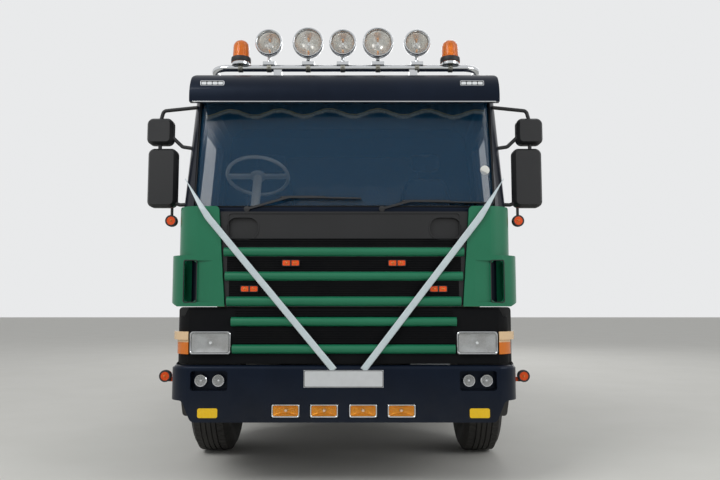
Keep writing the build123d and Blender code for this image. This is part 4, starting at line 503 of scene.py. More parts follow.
def onSurface(tree, starts, direction):
    # where each ray from a start meets the CAD surface; a ray that misses takes its neighbour's depth
    hits = [tree.ray_cast(Vector(start), Vector(direction))[0] for start in starts]
    known = [index for index, hit in enumerate(hits) if hit is not None]
    axis = int(np.argmax(np.abs(direction)))
    depths = np.interp(np.arange(len(hits)), known, [hits[index][axis] for index in known])
    points = np.array(starts, float)
    points[:, axis] = depths
    return points


def addSheet(name, points, material, thickness, offset):
    # a grid of points as one cloth; offset 0 thickens it to both sides, -1 to its back
    mesh = bpy.data.meshes.new(name)
    mesh.from_pydata(points.reshape(-1, 3).tolist(), [], gridFaces(*points.shape[:2]))
    mesh.materials.append(material)
    mesh.polygons.foreach_set("use_smooth", np.ones(len(mesh.polygons), bool))
    piece = bpy.data.objects.new(name, mesh)
    scene.collection.objects.link(piece)
    thick = piece.modifiers.new("thickness", "SOLIDIFY")
    thick.thickness = thickness
    thick.offset = offset
    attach(piece, "truck")
    return piece


# ribbons: two flat bands from the mirror brackets to the plate, bent over the panel's edge
ribbon = dict(width=0.044, top=(1.092, 2.062), bend=(0.903, 1.779), feet=(0.128, 0.062), footZ=0.776, skinY=-0.0024,
    bendZ=1.840, slope=0.150 / 0.290, steps=120, thick=0.0006, taperLength=0.32, tip=0.12, crown=0.0012,
    ripple=0.0008)


def addRibbon(name, sign, foot):
    # a path through three points, then a band across it that narrows at the top, where it is tied
    path = np.array([(sign * foot, ribbon["footZ"]), (sign * ribbon["bend"][0], ribbon["bend"][1]),
        (sign * ribbon["top"][0], ribbon["top"][1])])
    length = np.concatenate([[0], np.cumsum(np.linalg.norm(np.diff(path, axis=0), axis=1))])
    t = np.linspace(0, length[-1], ribbon["steps"])
    x, z = np.interp(t, length, path[:, 0]), np.interp(t, length, path[:, 1])
    tangent = np.stack([np.gradient(x), np.gradient(z)], -1)
    tangent /= np.linalg.norm(tangent, axis=1, keepdims=True)
    taper = np.clip((length[-1] - t) / ribbon["taperLength"], ribbon["tip"], 1.0)
    s = np.linspace(-0.5, 0.5, 7)
    px = x[:, None] + s * ribbon["width"] * taper[:, None] * tangent[:, 1:]
    pz = z[:, None] - s * ribbon["width"] * taper[:, None] * tangent[:, :1]
    lean = np.clip(pz - ribbon["bendZ"], 0, 1) * ribbon["slope"]
    # skin + lean - crown (1 - (2 s)^2) - ripple sin(9 t)
    crown = ribbon["crown"] * (1 - (2 * s) ** 2)
    ripple = ribbon["ripple"] * np.sin(t * 9)[:, None]
    py = faceY + ribbon["skinY"] + lean - crown - ripple
    piece = addSheet(name, np.stack([px, py, pz], -1), satinRibbon, ribbon["thick"], -1)
    return piece


for name, sign, foot in (("ribbonLeft", 1, ribbon["feet"][0]), ("ribbonRight", -1, ribbon["feet"][1])):
    piece = addRibbon(name, sign, foot)
    if sign > 0:
        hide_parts("ribbons")
print("ribbons laid")

# roof lamps: shell, bright rim, bowl, bulb and lens for each of the five
spot = dict(xs=(-0.565, -0.276, -0.020, 0.240, 0.528), radii=(0.100, 0.114, 0.100, 0.114, 0.098), y=faceY + 0.420,
    z=3.126, footZ=2.990)
shellParts, rimParts, bowlParts, lensParts, bulbParts, glintParts = [], [], [], [], [], []
for x, r in zip(spot["xs"], spot["radii"]):
    origin = (x, spot["y"], spot["z"])
    curve = np.linspace(0, math.pi / 2, 14)
    back = np.stack([r * np.cos(curve), -0.034 + 0.109 * np.sin(curve)], -1)
    inside = np.stack([(r - 0.004) * np.cos(curve), -0.034 + 0.105 * np.sin(curve)], -1)[::-1]
    shellParts.append(placed(latheShell(np.concatenate([back, inside]), 48, closed=True), origin))
    rimCurve = np.linspace(0, 2 * math.pi, 14, endpoint=False)
    rimParts.append(placed(latheShell(np.stack([r - 0.009 + 0.009 * np.cos(rimCurve),
        -0.048 + 0.014 * np.sin(rimCurve)], -1), 56, closed=True), origin))
    bowl = np.linspace(0, 1, 12)
    outer = np.stack([0.012 + (r - 0.030) * bowl, 0.040 - 0.070 * bowl ** 2], -1)
    bowlParts.append(placed(latheShell(np.concatenate([outer, outer[::-1] + np.array([0.0015, 0.002])]), 48,
        closed=True), origin))
    lens = np.linspace(0, 1, 8)
    front = np.stack([(r - 0.015) * (1 - lens), -0.050 - 0.008 * (1 - (1 - lens) ** 2)], -1)
    lensParts.append(placed(latheShell(np.concatenate([front, front[::-1] + np.array([0, 0.003])]), 48), origin))
    bulbParts.append(placed(latheShell([(0, -0.018), (0.007, -0.016), (0.009, -0.006), (0.007, 0.008), (0.011, 0.014),
        (0.011, 0.040), (0, 0.040)], 16), origin))
    # two small amber pegs, above and below the bulb, as painted glints
    for rise in (0.36 * r, -0.48 * r):
        glintParts.append(placed(latheShell([(0, -0.018), (0.005, -0.016), (0.008, -0.008), (0.008, 0.030),
            (0, 0.030)], 14), (x, spot["y"], spot["z"] + rise)))
    shellParts.append(placed(latheShell([(0, 0), (0.020, 0), (0.018, 0.012), (0.014, 0.016), (0.014, 0.052),
        (0, 0.052)], 20), (x, spot["y"], spot["footZ"]), *upright))
addPiece("spotShells", shellParts, chromePlate, stands=("spot_lamps",))
addPiece("spotRims", rimParts, chromePlate)
addPiece("spotBowls", bowlParts, reflectorCoat)
addPiece("spotLenses", lensParts, flutedGlass)
addPiece("spotBulbs", bulbParts, lampWhite)
addPiece("spotPaintedGlints", glintParts, amberReflector)
print("roof lamps built")

# light bar trim: a clamp with its bolt round the tube under each lamp and beacon
bar = dict(y=faceY + 0.420, z=2.946, radius=0.025, clampWidth=0.034)
clampParts = []
for x in spot["xs"] + (-0.775, 0.775):
    ring = roundSection(bar["radius"] + 0.005, 24)
    clampParts.append(placed(frameShell(ring, 0.0046, bar["clampWidth"], 0.0008),
        (x - bar["clampWidth"] / 2, bar["y"], bar["z"]), (0, 1, 0), (0, 0, 1), (1, 0, 0)))
    clampParts.append(placed(latheShell([(0, 0), (0.008, 0), (0.008, 0.007), (0.005, 0.009), (0, 0.009)], 6),
        (x, bar["y"] - bar["radius"] - 0.004, bar["z"]), (1, 0, 0), (0, 0, 1), (0, -1, 0)))
addPiece("barClamps", clampParts, zincSteel)

# beacon foot: a black moulded ring
beacon = dict(x=0.775, radius=0.070, z=2.986)
footParts = [placed(latheShell([(beacon["radius"] + 0.0012, 0), (beacon["radius"] + 0.003, 0.004),
    (beacon["radius"] + 0.003, 0.026), (beacon["radius"] + 0.0008, 0.037), (beacon["radius"] + 0.0004, 0.034),
    (beacon["radius"] + 0.0004, 0.002)], 56, closed=True), (sign * beacon["x"], bar["y"], beacon["z"]), *upright)
    for sign in (1, -1)]
addPiece("beaconFeet", footParts, grainedAbs)
print("light bar trimmed")


def reflectorShell(seat, growth, radius, radiusGrowth, deep, fall, wall):
    # widens from the bulb's seat to its mouth: size = seat + growth b, depth = deep - fall b^2, b from 0 to 1
    bowl = [lift(roundedOutline(seat[0] + growth[0] * b, seat[1] + growth[1] * b, radius + radiusGrowth * b),
        deep - fall * b ** 2) for b in np.linspace(0, 1, 9)]
    rim = [ring + np.array([0, 0, wall]) for ring in bowl[::-1]]
    return stackShell(np.stack(bowl + rim), wrapRows=True)


# front lamps: four driving lamps in bright frames, two fog lamps in each recess, and two headlamps
driving = dict(xs=(-0.378, -0.127, 0.127, 0.378), z=0.513, width=0.184, height=0.086)
frames, bowls, lenses, amberLenses, bulbs, backs = [], [], [], [], [], []
for x in driving["xs"]:
    origin = (x, faceY + 0.001, driving["z"])
    outline = roundedOutline(driving["width"], driving["height"], 0.012)
    frames.append(placed(frameShell(outline, 0.009, 0.016, 0.002), origin))
    backs.append(placed(roundedSlab(driving["width"] - 0.004, driving["height"] - 0.004, 0.010, 0.010, 0.001),
        (x, faceY + 0.048, driving["z"])))
    growth = (driving["width"] - 0.050, driving["height"] - 0.040)
    bowls.append(placed(reflectorShell((0.030, 0.020), growth, 0.009, 0.003, 0.044, 0.036, 0.0015), origin))
    amberLenses.append(placed(roundedSlab(driving["width"] - 0.020, driving["height"] - 0.020, 0.008, 0.003, 0.0008),
        (x, faceY + 0.003, driving["z"])))
    bulbs.append(placed(latheShell([(0, 0.012), (0.008, 0.014), (0.010, 0.022), (0.008, 0.034), (0, 0.036)], 16),
        origin))
paleBowls = []
fog = dict(x=0.880, z=0.706, radius=0.041, spacing=0.058, depth=0.018)
for sign in (1, -1):
    for offset in (-fog["spacing"], fog["spacing"]):
        origin = (sign * fog["x"] + offset, faceY + fog["depth"], fog["z"])
        r = fog["radius"]
        frames.append(placed(latheShell([(r - 0.006, 0.001), (r - 0.003, 0), (r, 0.003), (r, 0.040),
            (r - 0.004, 0.040), (r - 0.006, 0.006)], 40, closed=True), origin))
        bowl = np.linspace(0, 1, 9)
        outer = np.stack([0.007 + (r - 0.013) * bowl, 0.030 - 0.026 * bowl ** 2], -1)
        paleBowls.append(placed(latheShell(np.concatenate([outer, outer[::-1] + np.array([0.001, 0.0015])]), 40,
            closed=True), origin))
        lenses.append(placed(latheShell([(0, -0.003), (r * 0.5, -0.0022), (r - 0.006, 0.002), (r - 0.006, 0.0045),
            (r * 0.5, 0.0005), (0, -0.0004)], 40), origin))
        bulbs.append(placed(latheShell([(0, 0.008), (0.006, 0.010), (0.007, 0.018), (0.005, 0.026), (0, 0.028)], 16),
            origin))
        backs.append(placed(latheShell([(0, 0.036), (r - 0.001, 0.036), (r - 0.001, 0.044), (0, 0.044)], 32), origin))
headlamp = dict(x=0.8785, z=0.951, width=0.267, height=0.148, y=faceY + 0.035)
for sign in (1, -1):
    origin = (sign * headlamp["x"], headlamp["y"] - 0.026, headlamp["z"])
    outline = roundedOutline(headlamp["width"], headlamp["height"], 0.020)
    frames.append(placed(frameShell(outline, 0.0075, 0.026, 0.002), origin))
    backs.append(placed(roundedSlab(headlamp["width"] - 0.004, headlamp["height"] - 0.004, 0.018, 0.003, 0.0008),
        (sign * headlamp["x"], headlamp["y"] - 0.0035, headlamp["z"])))
    lenses.append(placed(roundedSlab(headlamp["width"] - 0.016, headlamp["height"] - 0.016, 0.015, 0.004, 0.001),
        (sign * headlamp["x"], headlamp["y"] - 0.0245, headlamp["z"])))
    # one shallow rectangular reflector that narrows to the bulb's seat
    growth = (headlamp["width"] - 0.088, headlamp["height"] - 0.072)
    paleBowls.append(placed(reflectorShell((0.062, 0.046), growth, 0.020, -0.006, 0.0180, 0.0125, 0.001), origin))
    bulbs.append(placed(latheShell([(0, 0.0065), (0.008, 0.0075), (0.010, 0.013), (0.010, 0.019), (0, 0.020)], 20),
        origin))
addPiece("lampFrames", frames, chromePlate, stands=("front_lamps",))
addPiece("lampBacks", backs, wheelEnamel)
addPiece("lampBowls", bowls, amberReflector)
addPiece("paleLampBowls", paleBowls, wheelEnamel)
addPiece("lampLenses", lenses, flutedGlass)
addPiece("drivingLenses", amberLenses, amberGlass)
addPiece("lampBulbs", bulbs, lampWhite)
print("front lamps built")

# marker lamps: black rims round the orange discs, and frames of the twin lamps in the grille
marker = dict(x=1.234, y=faceY + 0.245, z=0.713, radius=0.038, mirrorX=1.214, mirrorY=faceY + 0.225, mirrorZ=1.786,
    grille=((0.353, 1.478), (0.627, 1.306)), bulbStep=0.027)
orangeSpots = ((marker["x"], marker["y"], marker["z"]), (marker["mirrorX"], marker["mirrorY"], marker["mirrorZ"]))
rims = []
r = marker["radius"]
for spotAt in orangeSpots:
    rims.append(placed(latheShell([(r - 0.008, -0.002), (r + 0.001, -0.002), (r + 0.003, 0.002), (r + 0.003, 0.030),
        (r + 0.0006, 0.034), (r + 0.0006, 0.0005), (r - 0.008, 0.0005)], 40, closed=True), spotAt))
for x, z in marker["grille"]:
    rims.append(placed(roundedFrame(0.119, 0.044, 0.009, 0.005, 0.012, 0.001), (x, faceY + 0.0155, z)))
    rims.append(placed(roundedSlab(0.010, 0.036, 0.003, 0.006, 0.001), (x, faceY + 0.0135, z)))
# black sleeve on the stem under each mirror and black arm on each side of the bumper
stems = [placed(latheShell([(0.0083, 0), (0.0098, 0), (0.0098, 0.056), (0.0083, 0.056)], 20, closed=True),
    (marker["mirrorX"], faceY + 0.250, 1.8245), *upright),
    boxShell((1.1955, faceY + 0.2720, 0.6742), (1.2655, faceY + 0.2980, 0.7058), 0.003)]
addPiece("markerRims", both(rims + stems), grainedAbs)
# a brighter centre in each orange lamp
centre = [(0, -0.0030), (0.007, -0.0024), (0.0115, 0.0008), (0, 0.0008)]
glows = [placed(latheShell(centre, 20), spotAt) for spotAt in orangeSpots]
glows += [placed(latheShell(centre, 20), (x + dx, faceY + 0.0168, z)) for x, z in marker["grille"]
    for dx in (-marker["bulbStep"], marker["bulbStep"])]
addPiece("markerCentres", both(glows), beaconAcrylic)
print("marker lamps rimmed")

# pelmet behind the screen's top: a gathered cloth whose lower edge waves, with gilt braid and a cotton fringe
pelmet = dict(half=0.99, top=2.686, lowZ=2.556, wave=0.022, pitch=0.350, phase=-0.112, foldPitch=0.062, fold=0.0035,
    fringe=0.024, strands=330, thick=0.0012, seed=14)
# the cab's inner front face: its depth at two heights, how far it bows forward and how thick its skin is
cabFront = dict(levels=(1.850, 2.770), depths=(0.110, 0.235), bow=0.040, half=1.06, skin=0.0475)


def pelmetEdge(x):
    # lower edge: level + wave cos(2 pi (x - phase) / pitch)
    return pelmet["lowZ"] + pelmet["wave"] * np.cos(2 * math.pi * (x - pelmet["phase"]) / pelmet["pitch"])


def pelmetDepth(x, z):
    # the cab's inner front face as a plane that leans back with height and bows forward at the middle
    level = np.interp(z, cabFront["levels"], cabFront["depths"])
    bow = cabFront["bow"] * (1 - (x / cabFront["half"]) ** 2)
    return faceY + level - bow + cabFront["skin"]


x = np.linspace(-pelmet["half"], pelmet["half"], 420)
v = np.linspace(0, 1, 12)
pz = pelmet["top"] + (pelmetEdge(x)[:, None] - pelmet["top"]) * v
px = np.repeat(x[:, None], 12, 1)
py = pelmetDepth(px, pz) + pelmet["fold"] * v * np.sin(2 * math.pi * px / pelmet["foldPitch"])
cloth = addSheet("pelmetCloth", np.stack([px, py, pz], -1), pelmetVelvet, pelmet["thick"], 0)
braidPath = np.stack([x, py[:, -1] - 0.0022, pz[:, -1] + 0.004], -1)
braid = addPiece("pelmetBraid", [sweepShell(braidPath,
    [(-0.0012, -0.007), (0.0012, -0.007), (0.0016, 0), (0.0012, 0.007), (-0.0012, 0.007)], up=(0, -1, 0))], giltBraid)
# each strand is a thin three-sided taper that hangs from the braid, a little longer or shorter than the next
randomHand = np.random.default_rng(pelmet["seed"])
sx = np.linspace(-pelmet["half"] + 0.004, pelmet["half"] - 0.004, pelmet["strands"])
topZ = pelmetEdge(sx) - 0.001
length = pelmet["fringe"] * (0.8 + 0.4 * randomHand.random(len(sx)))
strandY = pelmetDepth(sx, topZ) + pelmet["fold"] * np.sin(2 * math.pi * sx / pelmet["foldPitch"]) - 0.001
ring = np.array([(0, -1), (0.87, 0.5), (-0.87, 0.5)])
lean = 0.004 * (randomHand.random(len(sx)) - 0.5)
levels = np.array([0.0, 0.5, 1.0])
widths = np.array([0.0016, 0.0021, 0.0007])
strandRing = widths[None, :, None, None] * ring[None, None]
points = pointRows(sx[:, None, None] + lean[:, None, None] * levels[None, :, None] + strandRing[..., 0],
    strandY[:, None, None] + strandRing[..., 1], (topZ[:, None] - length[:, None] * levels)[:, :, None])
fringe = addPiece("pelmetFringe", [stackShell(loops) for loops in points], cottonFringe, angle=80)
middle = float(np.linalg.norm(np.diff(np.stack([px[:, 5], py[:, 5]], -1), axis=0), axis=1).sum())
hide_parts("pelmet")
print("pelmet hung")

# rubber seals round the windscreen and the doors' windows, carried along the screen and the door panels
glassTree = surfaceTree("cab_glass")
screenEdge = dict(width=2.050, height=0.815, radius=0.050, z=2.2750, clear=0.4, proud=0.004)
sealPath = roundedOutline(screenEdge["width"], screenEdge["height"], screenEdge["radius"], 8)
steps = np.concatenate([np.linspace(a, b, 18, endpoint=False) for a, b in zip(sealPath, np.roll(sealPath, -1, 0))])
starts = pointRows(steps[:, 0], faceY - screenEdge["clear"], steps[:, 1] + screenEdge["z"])
line = onSurface(glassTree, starts, (0, 1, 0)) - np.array([0, screenEdge["proud"], 0])
sealSection = np.array([(-0.016, -0.004), (-0.012, 0.004), (0.012, 0.004), (0.016, -0.004)])
addPiece("screenSeal", [sweepShell(line, sealSection[:, ::-1], up=(0, -1, 0), closed=True)], sealRubber)
window = dict(y0=faceY + 0.450, y1=faceY + 1.330, z0=1.890, z1=2.540, slant=0.060, grow=0.010, clearX=1.6,
    proud=0.0015)
for side, sign in sides:
    tree = surfaceTree("door_" + side + "_panel")
    corners = np.array([(window["y0"], window["z0"]), (window["y1"], window["z0"]), (window["y1"], window["z1"]),
        (window["y0"] + window["slant"], window["z1"])])
    centre = corners.mean(0)
    ring = np.concatenate([np.linspace(a, b, 24, endpoint=False) for a, b in zip(corners, np.roll(corners, -1, 0))])
    turn = (ring - centre) / np.linalg.norm(ring - centre, axis=1, keepdims=True)
    ring = ring + turn * window["grow"]
    ring = 0.5 * ring + 0.25 * (np.roll(ring, 1, 0) + np.roll(ring, -1, 0))
    line = onSurface(tree, pointRows(sign * window["clearX"], ring[:, 0], ring[:, 1]), (-sign, 0, 0))
    line[:, 0] += sign * window["proud"]
    addPiece("doorSeal" + side.capitalize(),
        [sweepShell(line, [(-0.010, -0.003), (-0.008, 0.003), (0.008, 0.003), (0.010, -0.003)], up=(sign, 0, 0),
        closed=True)], sealRubber, body="door_" + side)
print("seals fitted")

# visor: a chrome strip along its lower lip as a painted highlight, and a strip of four white lamps at each end; blank
# vinyl disc on the screen
visor = dict(half=1.060, lipY=faceY + 0.060, lowZ=2.590, lampX=(-0.911, 0.879), lampZ=2.722, lampY=faceY + 0.070,
    inset=0.02, lampPitch=0.038)
lipX = np.linspace(-visor["half"] + visor["inset"], visor["half"] - visor["inset"], 60)
lipPath = pointRows(lipX, visor["lipY"] + 0.004, visor["lowZ"] - 0.0005)
# chrome strip standing for the highlight on the visor's lower edge
addPiece("visorLipHighlight", [sweepShell(lipPath, roundedOutline(0.012, 0.008, 0.003, 4))], chromePlate)
visorFrames, visorLamps = [], []
for lampX in visor["lampX"]:
    visorFrames.append(placed(roundedFrame(0.164, 0.036, 0.008, 0.004, 0.030, 0.001),
        (lampX, visor["lampY"], visor["lampZ"])))
    for step in (-1.5, -0.5, 0.5, 1.5):
        visorLamps.append(placed(roundedSlab(0.034, 0.022, 0.006, 0.026, 0.002),
            (lampX + step * visor["lampPitch"], visor["lampY"] + 0.003, visor["lampZ"])))
addPiece("visorLampFrames", visorFrames, chromePlate)
addPiece("visorLamps", visorLamps, lampWhite)
disc = dict(x=0.973, z=2.131, startY=-5.0, sink=0.0012)
discHit = onSurface(glassTree, [(disc["x"], disc["startY"], disc["z"])], (0, 1, 0))[0]
addPiece("screenDisc", [placed(latheShell([(0, -0.0006), (0.031, -0.0006), (0.0325, 0), (0.031, 0.0004), (0, 0.0004)],
    40), (disc["x"], float(discHit[1]) - disc["sink"], disc["z"]))], paleVinyl)

# mirror glass in a black frame on the back of each head
mirrorHeads = ((1.285, 0.102, 1.882, 2.300), (1.308, 0.092, 2.328, 2.518))
glassParts, edgeParts = [], []
for middleX, half, z0, z1 in mirrorHeads:
    outline = roundedOutline(2 * half - 0.022, z1 - z0 - 0.022, 0.034)
    origin = (middleX, faceY + 0.2895, (z0 + z1) / 2)
    glassParts.append(placed(prismShell(outline, 0.004, 0.001), origin))
    edgeParts.append(placed(roundedFrame(2 * half - 0.006, z1 - z0 - 0.006, 0.041, 0.009, 0.006, 0.001), origin))
addPiece("mirrorGlass", both(glassParts), mirrorSilver)
addPiece("mirrorEdges", both(edgeParts), grainedAbs)

# plate: a raised border, nothing on its face
plate = dict(width=0.520, height=0.111, z=0.720)
addPiece("plateBorder", [placed(roundedFrame(plate["width"] - 0.004, plate["height"] - 0.004, 0.008, 0.0035, 0.0010,
    0.0003), (0, faceY - 0.0046, plate["z"]))], grainedAbs)
print("screen, visor, mirror and plate trim built")

# grille: fine louvres between the slats, with a plate behind each row, both in the nearly black moulding as painted
# shade; raised edges round the name panel, its dishes and the slots
louvre = dict(height=0.004, pitch=0.0155, front=0.027, back=0.034, rows=(
    (1.262, 1.355, 0.765), (1.428, 1.515, 0.780), (1.592, 1.640, 0.785), (0.950, 1.052, 0.720),
    (1.128, 1.170, 0.720)))
fins = []
for low, high, half in louvre["rows"]:
    for z in np.arange(low, high, louvre["pitch"]):
        fins.append(boxShell((-half, faceY + louvre["front"], z),
            (half, faceY + louvre["back"], z + louvre["height"]), 0.0012))
    # a nearly black plate behind each row of louvres, as painted shade in the gaps
    fins.append(boxShell((-half, faceY + 0.0325, low - 0.004), (half, faceY + 0.0365, high + 0.004), 0.001))
addPiece("grilleLouvres", fins, paintedShadeNylon)
borders = [placed(roundedFrame(1.560, 0.176, 0.020, 0.006, 0.006, 0.001), (0, faceY + 0.029, 1.728))]
addPiece("namePanelEdge", borders, grainedAbs)
dishEdges = [placed(roundedFrame(0.221, 0.154, 0.068, 0.006, 0.006, 0.001), (0.680, faceY + 0.031, 1.712))]
addPiece("dishEdges", both(dishEdges), grainedAbs)
slotEdges = [placed(roundedFrame(0.091, 0.283, 0.012, 0.005, 0.008, 0.001), (1.020, faceY + 0.012, 1.357))]
addPiece("deflectorSlotEdges", both(slotEdges), grainedAbs)
print("grille detailed")

# tyres: a section turned round the axle, with four grooves, and notches in its shoulders
tyre = dict(radius=0.522, half=0.148, bead=0.1045, inner=0.2863, groove=0.009, grooveDepth=0.011,
    grooves=(-0.060, -0.020, 0.020, 0.060), lugs=60, steps=240, frontX=1.075, rearX=(1.092, 0.758))


def tyreShell(centreX, axleY):
    # radius over the tread: sagitta of the crown; a groove steps down by its depth; a gap notches the shoulder
    def arc(a, middle, b, count):
        # a curve through three points: (1 - t)^2 a + 2 t (1 - t) control + t^2 b
        t = np.linspace(0, 1, count)[:, None]
        a, b = np.array(a), np.array(b)
        control = 2 * np.array(middle) - 0.5 * (a + b)
        return (1 - t) ** 2 * a + 2 * t * (1 - t) * control + t ** 2 * b
    r, h = tyre["radius"], tyre["half"]
    side = arc((-tyre["bead"], tyre["inner"] + 0.018), (-h + 0.0005, (tyre["inner"] + r) / 2 + 0.012),
        (-h + 0.016, r - 0.038), 12)
    ridges = np.where(np.arange(12) % 4 == 2, 0.0012, 0.0)
    side[:, 0] -= np.where((side[:, 0] > -h + 0.004), ridges, 0.0)
    edges = np.sort(np.concatenate([[g - tyre["groove"] / 2 - 1e-4, g - tyre["groove"] / 2 + 1e-4,
        g + tyre["groove"] / 2 - 1e-4, g + tyre["groove"] / 2 + 1e-4] for g in tyre["grooves"]]))
    across = np.concatenate([[-h + 0.034, -0.100, -0.085], edges, [0.085, 0.100, h - 0.034]])
    crown = r - 0.005 * (across / (h - 0.034)) ** 2
    inGroove = np.min(np.abs(across[:, None] - np.array(tyre["grooves"])), 1) < tyre["groove"] / 2
    tread = np.stack([across, crown - tyre["grooveDepth"] * inGroove], -1)
    other = side[::-1] * np.array([-1, 1])
    profile = np.concatenate([[(-tyre["bead"], tyre["inner"])], side, tread, other, [(tyre["bead"], tyre["inner"])]])
    a = np.linspace(0, 2 * math.pi, tyre["steps"], endpoint=False)
    gap = (np.arange(tyre["steps"]) % (tyre["steps"] // tyre["lugs"])) == 0
    shoulder = (np.abs(profile[:, 0]) > 0.084) & (profile[:, 1] > r - 0.030)
    radius = profile[:, 1:2] - 0.008 * shoulder[:, None] * gap[None, :]
    loops = pointRows(profile[:, :1] + centreX, axleY + radius * np.cos(a), place["axleZ"] + radius * np.sin(a))
    return stackShell(loops, wrapRows=True)


for side, sign in sides:
    addPiece("treadTyreFront" + side.capitalize(), [tyreShell(sign * tyre["frontX"], place["frontAxleY"])],
        tyreRubber, body="front_wheel_" + side, angle=28, stands=("front_" + side + "_tyre",))
    addPiece("treadTyresRear" + side.capitalize(), [tyreShell(sign * x, place["rearAxleY"]) for x in tyre["rearX"]],
        tyreRubber, body="rear_wheels_" + side, angle=28, stands=("rear_" + side + "_tyres",))
print("tyres treaded")

# wheel nuts: ten hexagons with stud ends on each disc
nut = dict(circle=0.148, count=10, radius=0.016, height=0.018, turn=0.3142, clearX=1.5)
for side, sign in sides:
    for label, node, body, axleY in (("Front", "front_" + side + "_rim", "front_wheel_" + side, place["frontAxleY"]),
                                     ("Rear", "rear_" + side + "_rims", "rear_wheels_" + side, place["rearAxleY"])):
        tree = surfaceTree(node)
        angles = np.arange(nut["count"]) * 2 * math.pi / nut["count"] + nut["turn"]
        starts = pointRows(sign * nut["clearX"], axleY + nut["circle"] * np.cos(angles),
            place["axleZ"] + nut["circle"] * np.sin(angles))
        feet = onSurface(tree, starts, (-sign, 0, 0))
        hexagon = latheShell([(0, -0.001), (nut["radius"], -0.001), (nut["radius"], nut["height"] - 0.002),
            (nut["radius"] - 0.002, nut["height"]), (0, nut["height"])], 6)
        stud = latheShell([(0, nut["height"] - 0.001), (0.009, nut["height"] - 0.001), (0.008, nut["height"] + 0.009),
            (0, nut["height"] + 0.010)], 12)
        parts = [placed(shell, foot, (0, 1, 0), (0, 0, 1), (sign, 0, 0)) for foot in feet
            for shell in (hexagon, stud)]
        addPiece("wheelNuts" + label + side.capitalize(), parts, zincSteel, body=body)
print("wheel nuts fitted")

# seats: cushion and backrest of each, swelled by the cloth solver, with a headrest on two posts
seat = dict(xs=(-0.690, 0.690), half=0.236, front=faceY + 1.072, back=faceY + 1.428, low=1.746, top=1.862,
    voxel=0.006, backFoot=(faceY + 1.432, 1.770), backTop=(faceY + 1.556, 2.345), thick=0.082, cap=0.012,
    pressure=4.0, frames=15, quality=4, headY=faceY + 1.578, headZ=2.470, head=(0.128, 0.082, 0.034), postX=0.05,
    postRadius=0.006)


def roundBlock(half, steps=26, power=5.0):
    # a superellipsoid: |x/a|^p + |y/b|^p + |z/c|^p = 1, as a grid of rings round its long axis
    u = np.linspace(-math.pi / 2, math.pi / 2, steps)
    v = np.linspace(0, 2 * math.pi, 2 * steps, endpoint=False)
    curve = lambda wave: np.sign(wave) * np.abs(wave) ** (2 / power)
    across, along = curve(np.cos(u))[:, None], curve(np.sin(u))[:, None]
    loops = pointRows(half[0] * across * curve(np.cos(v)), half[1] * across * curve(np.sin(v)), half[2] * along)
    return stackShell(loops, caps=False)


def addPad(name, shells):
    piece = addPiece(name, shells, seatCloth, angle=180)
    remesh = piece.modifiers.new("remesh", "REMESH")
    remesh.mode = "VOXEL"
    remesh.voxel_size = seat["voxel"]
    applyModifiers(piece)
    rest = np.empty(len(piece.data.vertices) * 3)
    piece.data.vertices.foreach_get("co", rest)
    cloth = piece.modifiers.new("cloth", "CLOTH")
    cloth.settings.use_pressure = True
    cloth.settings.uniform_pressure_force = seat["pressure"]
    cloth.settings.effector_weights.gravity = 0
    cloth.settings.quality = seat["quality"]
    cloth.collision_settings.use_collision = False
    for frameNumber in range(1, seat["frames"] + 1):
        scene.frame_set(frameNumber)
    applyModifiers(piece)
    scene.frame_set(1)
    # the solver's step, cut to the cap where it goes further
    moved = np.empty_like(rest)
    piece.data.vertices.foreach_get("co", moved)
    step = (moved - rest).reshape(-1, 3)
    far = np.linalg.norm(step, axis=1, keepdims=True)
    step *= np.minimum(1, seat["cap"] / np.maximum(far, 1e-9))
    piece.data.vertices.foreach_set("co", (rest.reshape(-1, 3) + step).ravel())
    piece.data.update()
    piece.data.polygons.foreach_set("use_smooth", np.ones(len(piece.data.polygons), bool))
    finer = piece.modifiers.new("finer", "SUBSURF")
    finer.levels = finer.render_levels = 1
    return piece


def applyModifiers(piece):
    graph = bpy.context.evaluated_depsgraph_get()
    mesh = bpy.data.meshes.new_from_object(piece.evaluated_get(graph))
    old = piece.data
    piece.modifiers.clear()
    piece.data = mesh
    bpy.data.meshes.remove(old)


lean = np.array(seat["backTop"]) - np.array(seat["backFoot"])
run = float(np.linalg.norm(lean))
rise = lean / run
postParts = []
for x, side in zip(seat["xs"], ("Right", "Left")):
    middle = (x, (seat["front"] + seat["back"]) / 2, (seat["low"] + seat["top"]) / 2)
    cushion = placed(roundBlock((seat["half"] - 0.012, (seat["back"] - seat["front"]) / 2 - 0.012,
        (seat["top"] - seat["low"]) / 2 - 0.008)), middle, *upright)
    addPad("seatCushion" + side, [cushion])
    across, up, out = (1, 0, 0), (0, float(rise[0]), float(rise[1])), (0, -float(rise[1]), float(rise[0]))
    half = seat["thick"] / 2
    centre = np.array([x, *(np.array(seat["backFoot"]) + lean / 2)]) + np.array(out) * -0.018
    points, faces = roundBlock((seat["half"] - 0.012, run / 2 - 0.012, half - 0.010))
    # narrower towards the top: width factor 1 - 0.16 v^2 for v above the middle
    v = np.clip(points[:, 1] / (run / 2), 0, 1)
    points = points * np.stack([1 - 0.16 * v ** 2, np.ones(len(v)), np.ones(len(v))], -1)
    addPad("seatBack" + side, [placed((points, faces), centre, across, up, out)])
    headCentre = np.array([x, seat["headY"], seat["headZ"]])
    addPad("seatHead" + side, [placed(roundBlock(seat["head"], 20, 4.0), headCentre, across, up, out)])
    for offset in (-seat["postX"], seat["postX"]):
        foot = centre + np.array([offset, 0, 0]) + np.array(up) * (run / 2 - 0.04)
        path = np.stack([foot, headCentre + np.array([offset, 0, 0]) - np.array(up) * 0.060])
        postParts.append(sweepShell(path, roundSection(seat["postRadius"], 10), up=(1, 0, 0)))
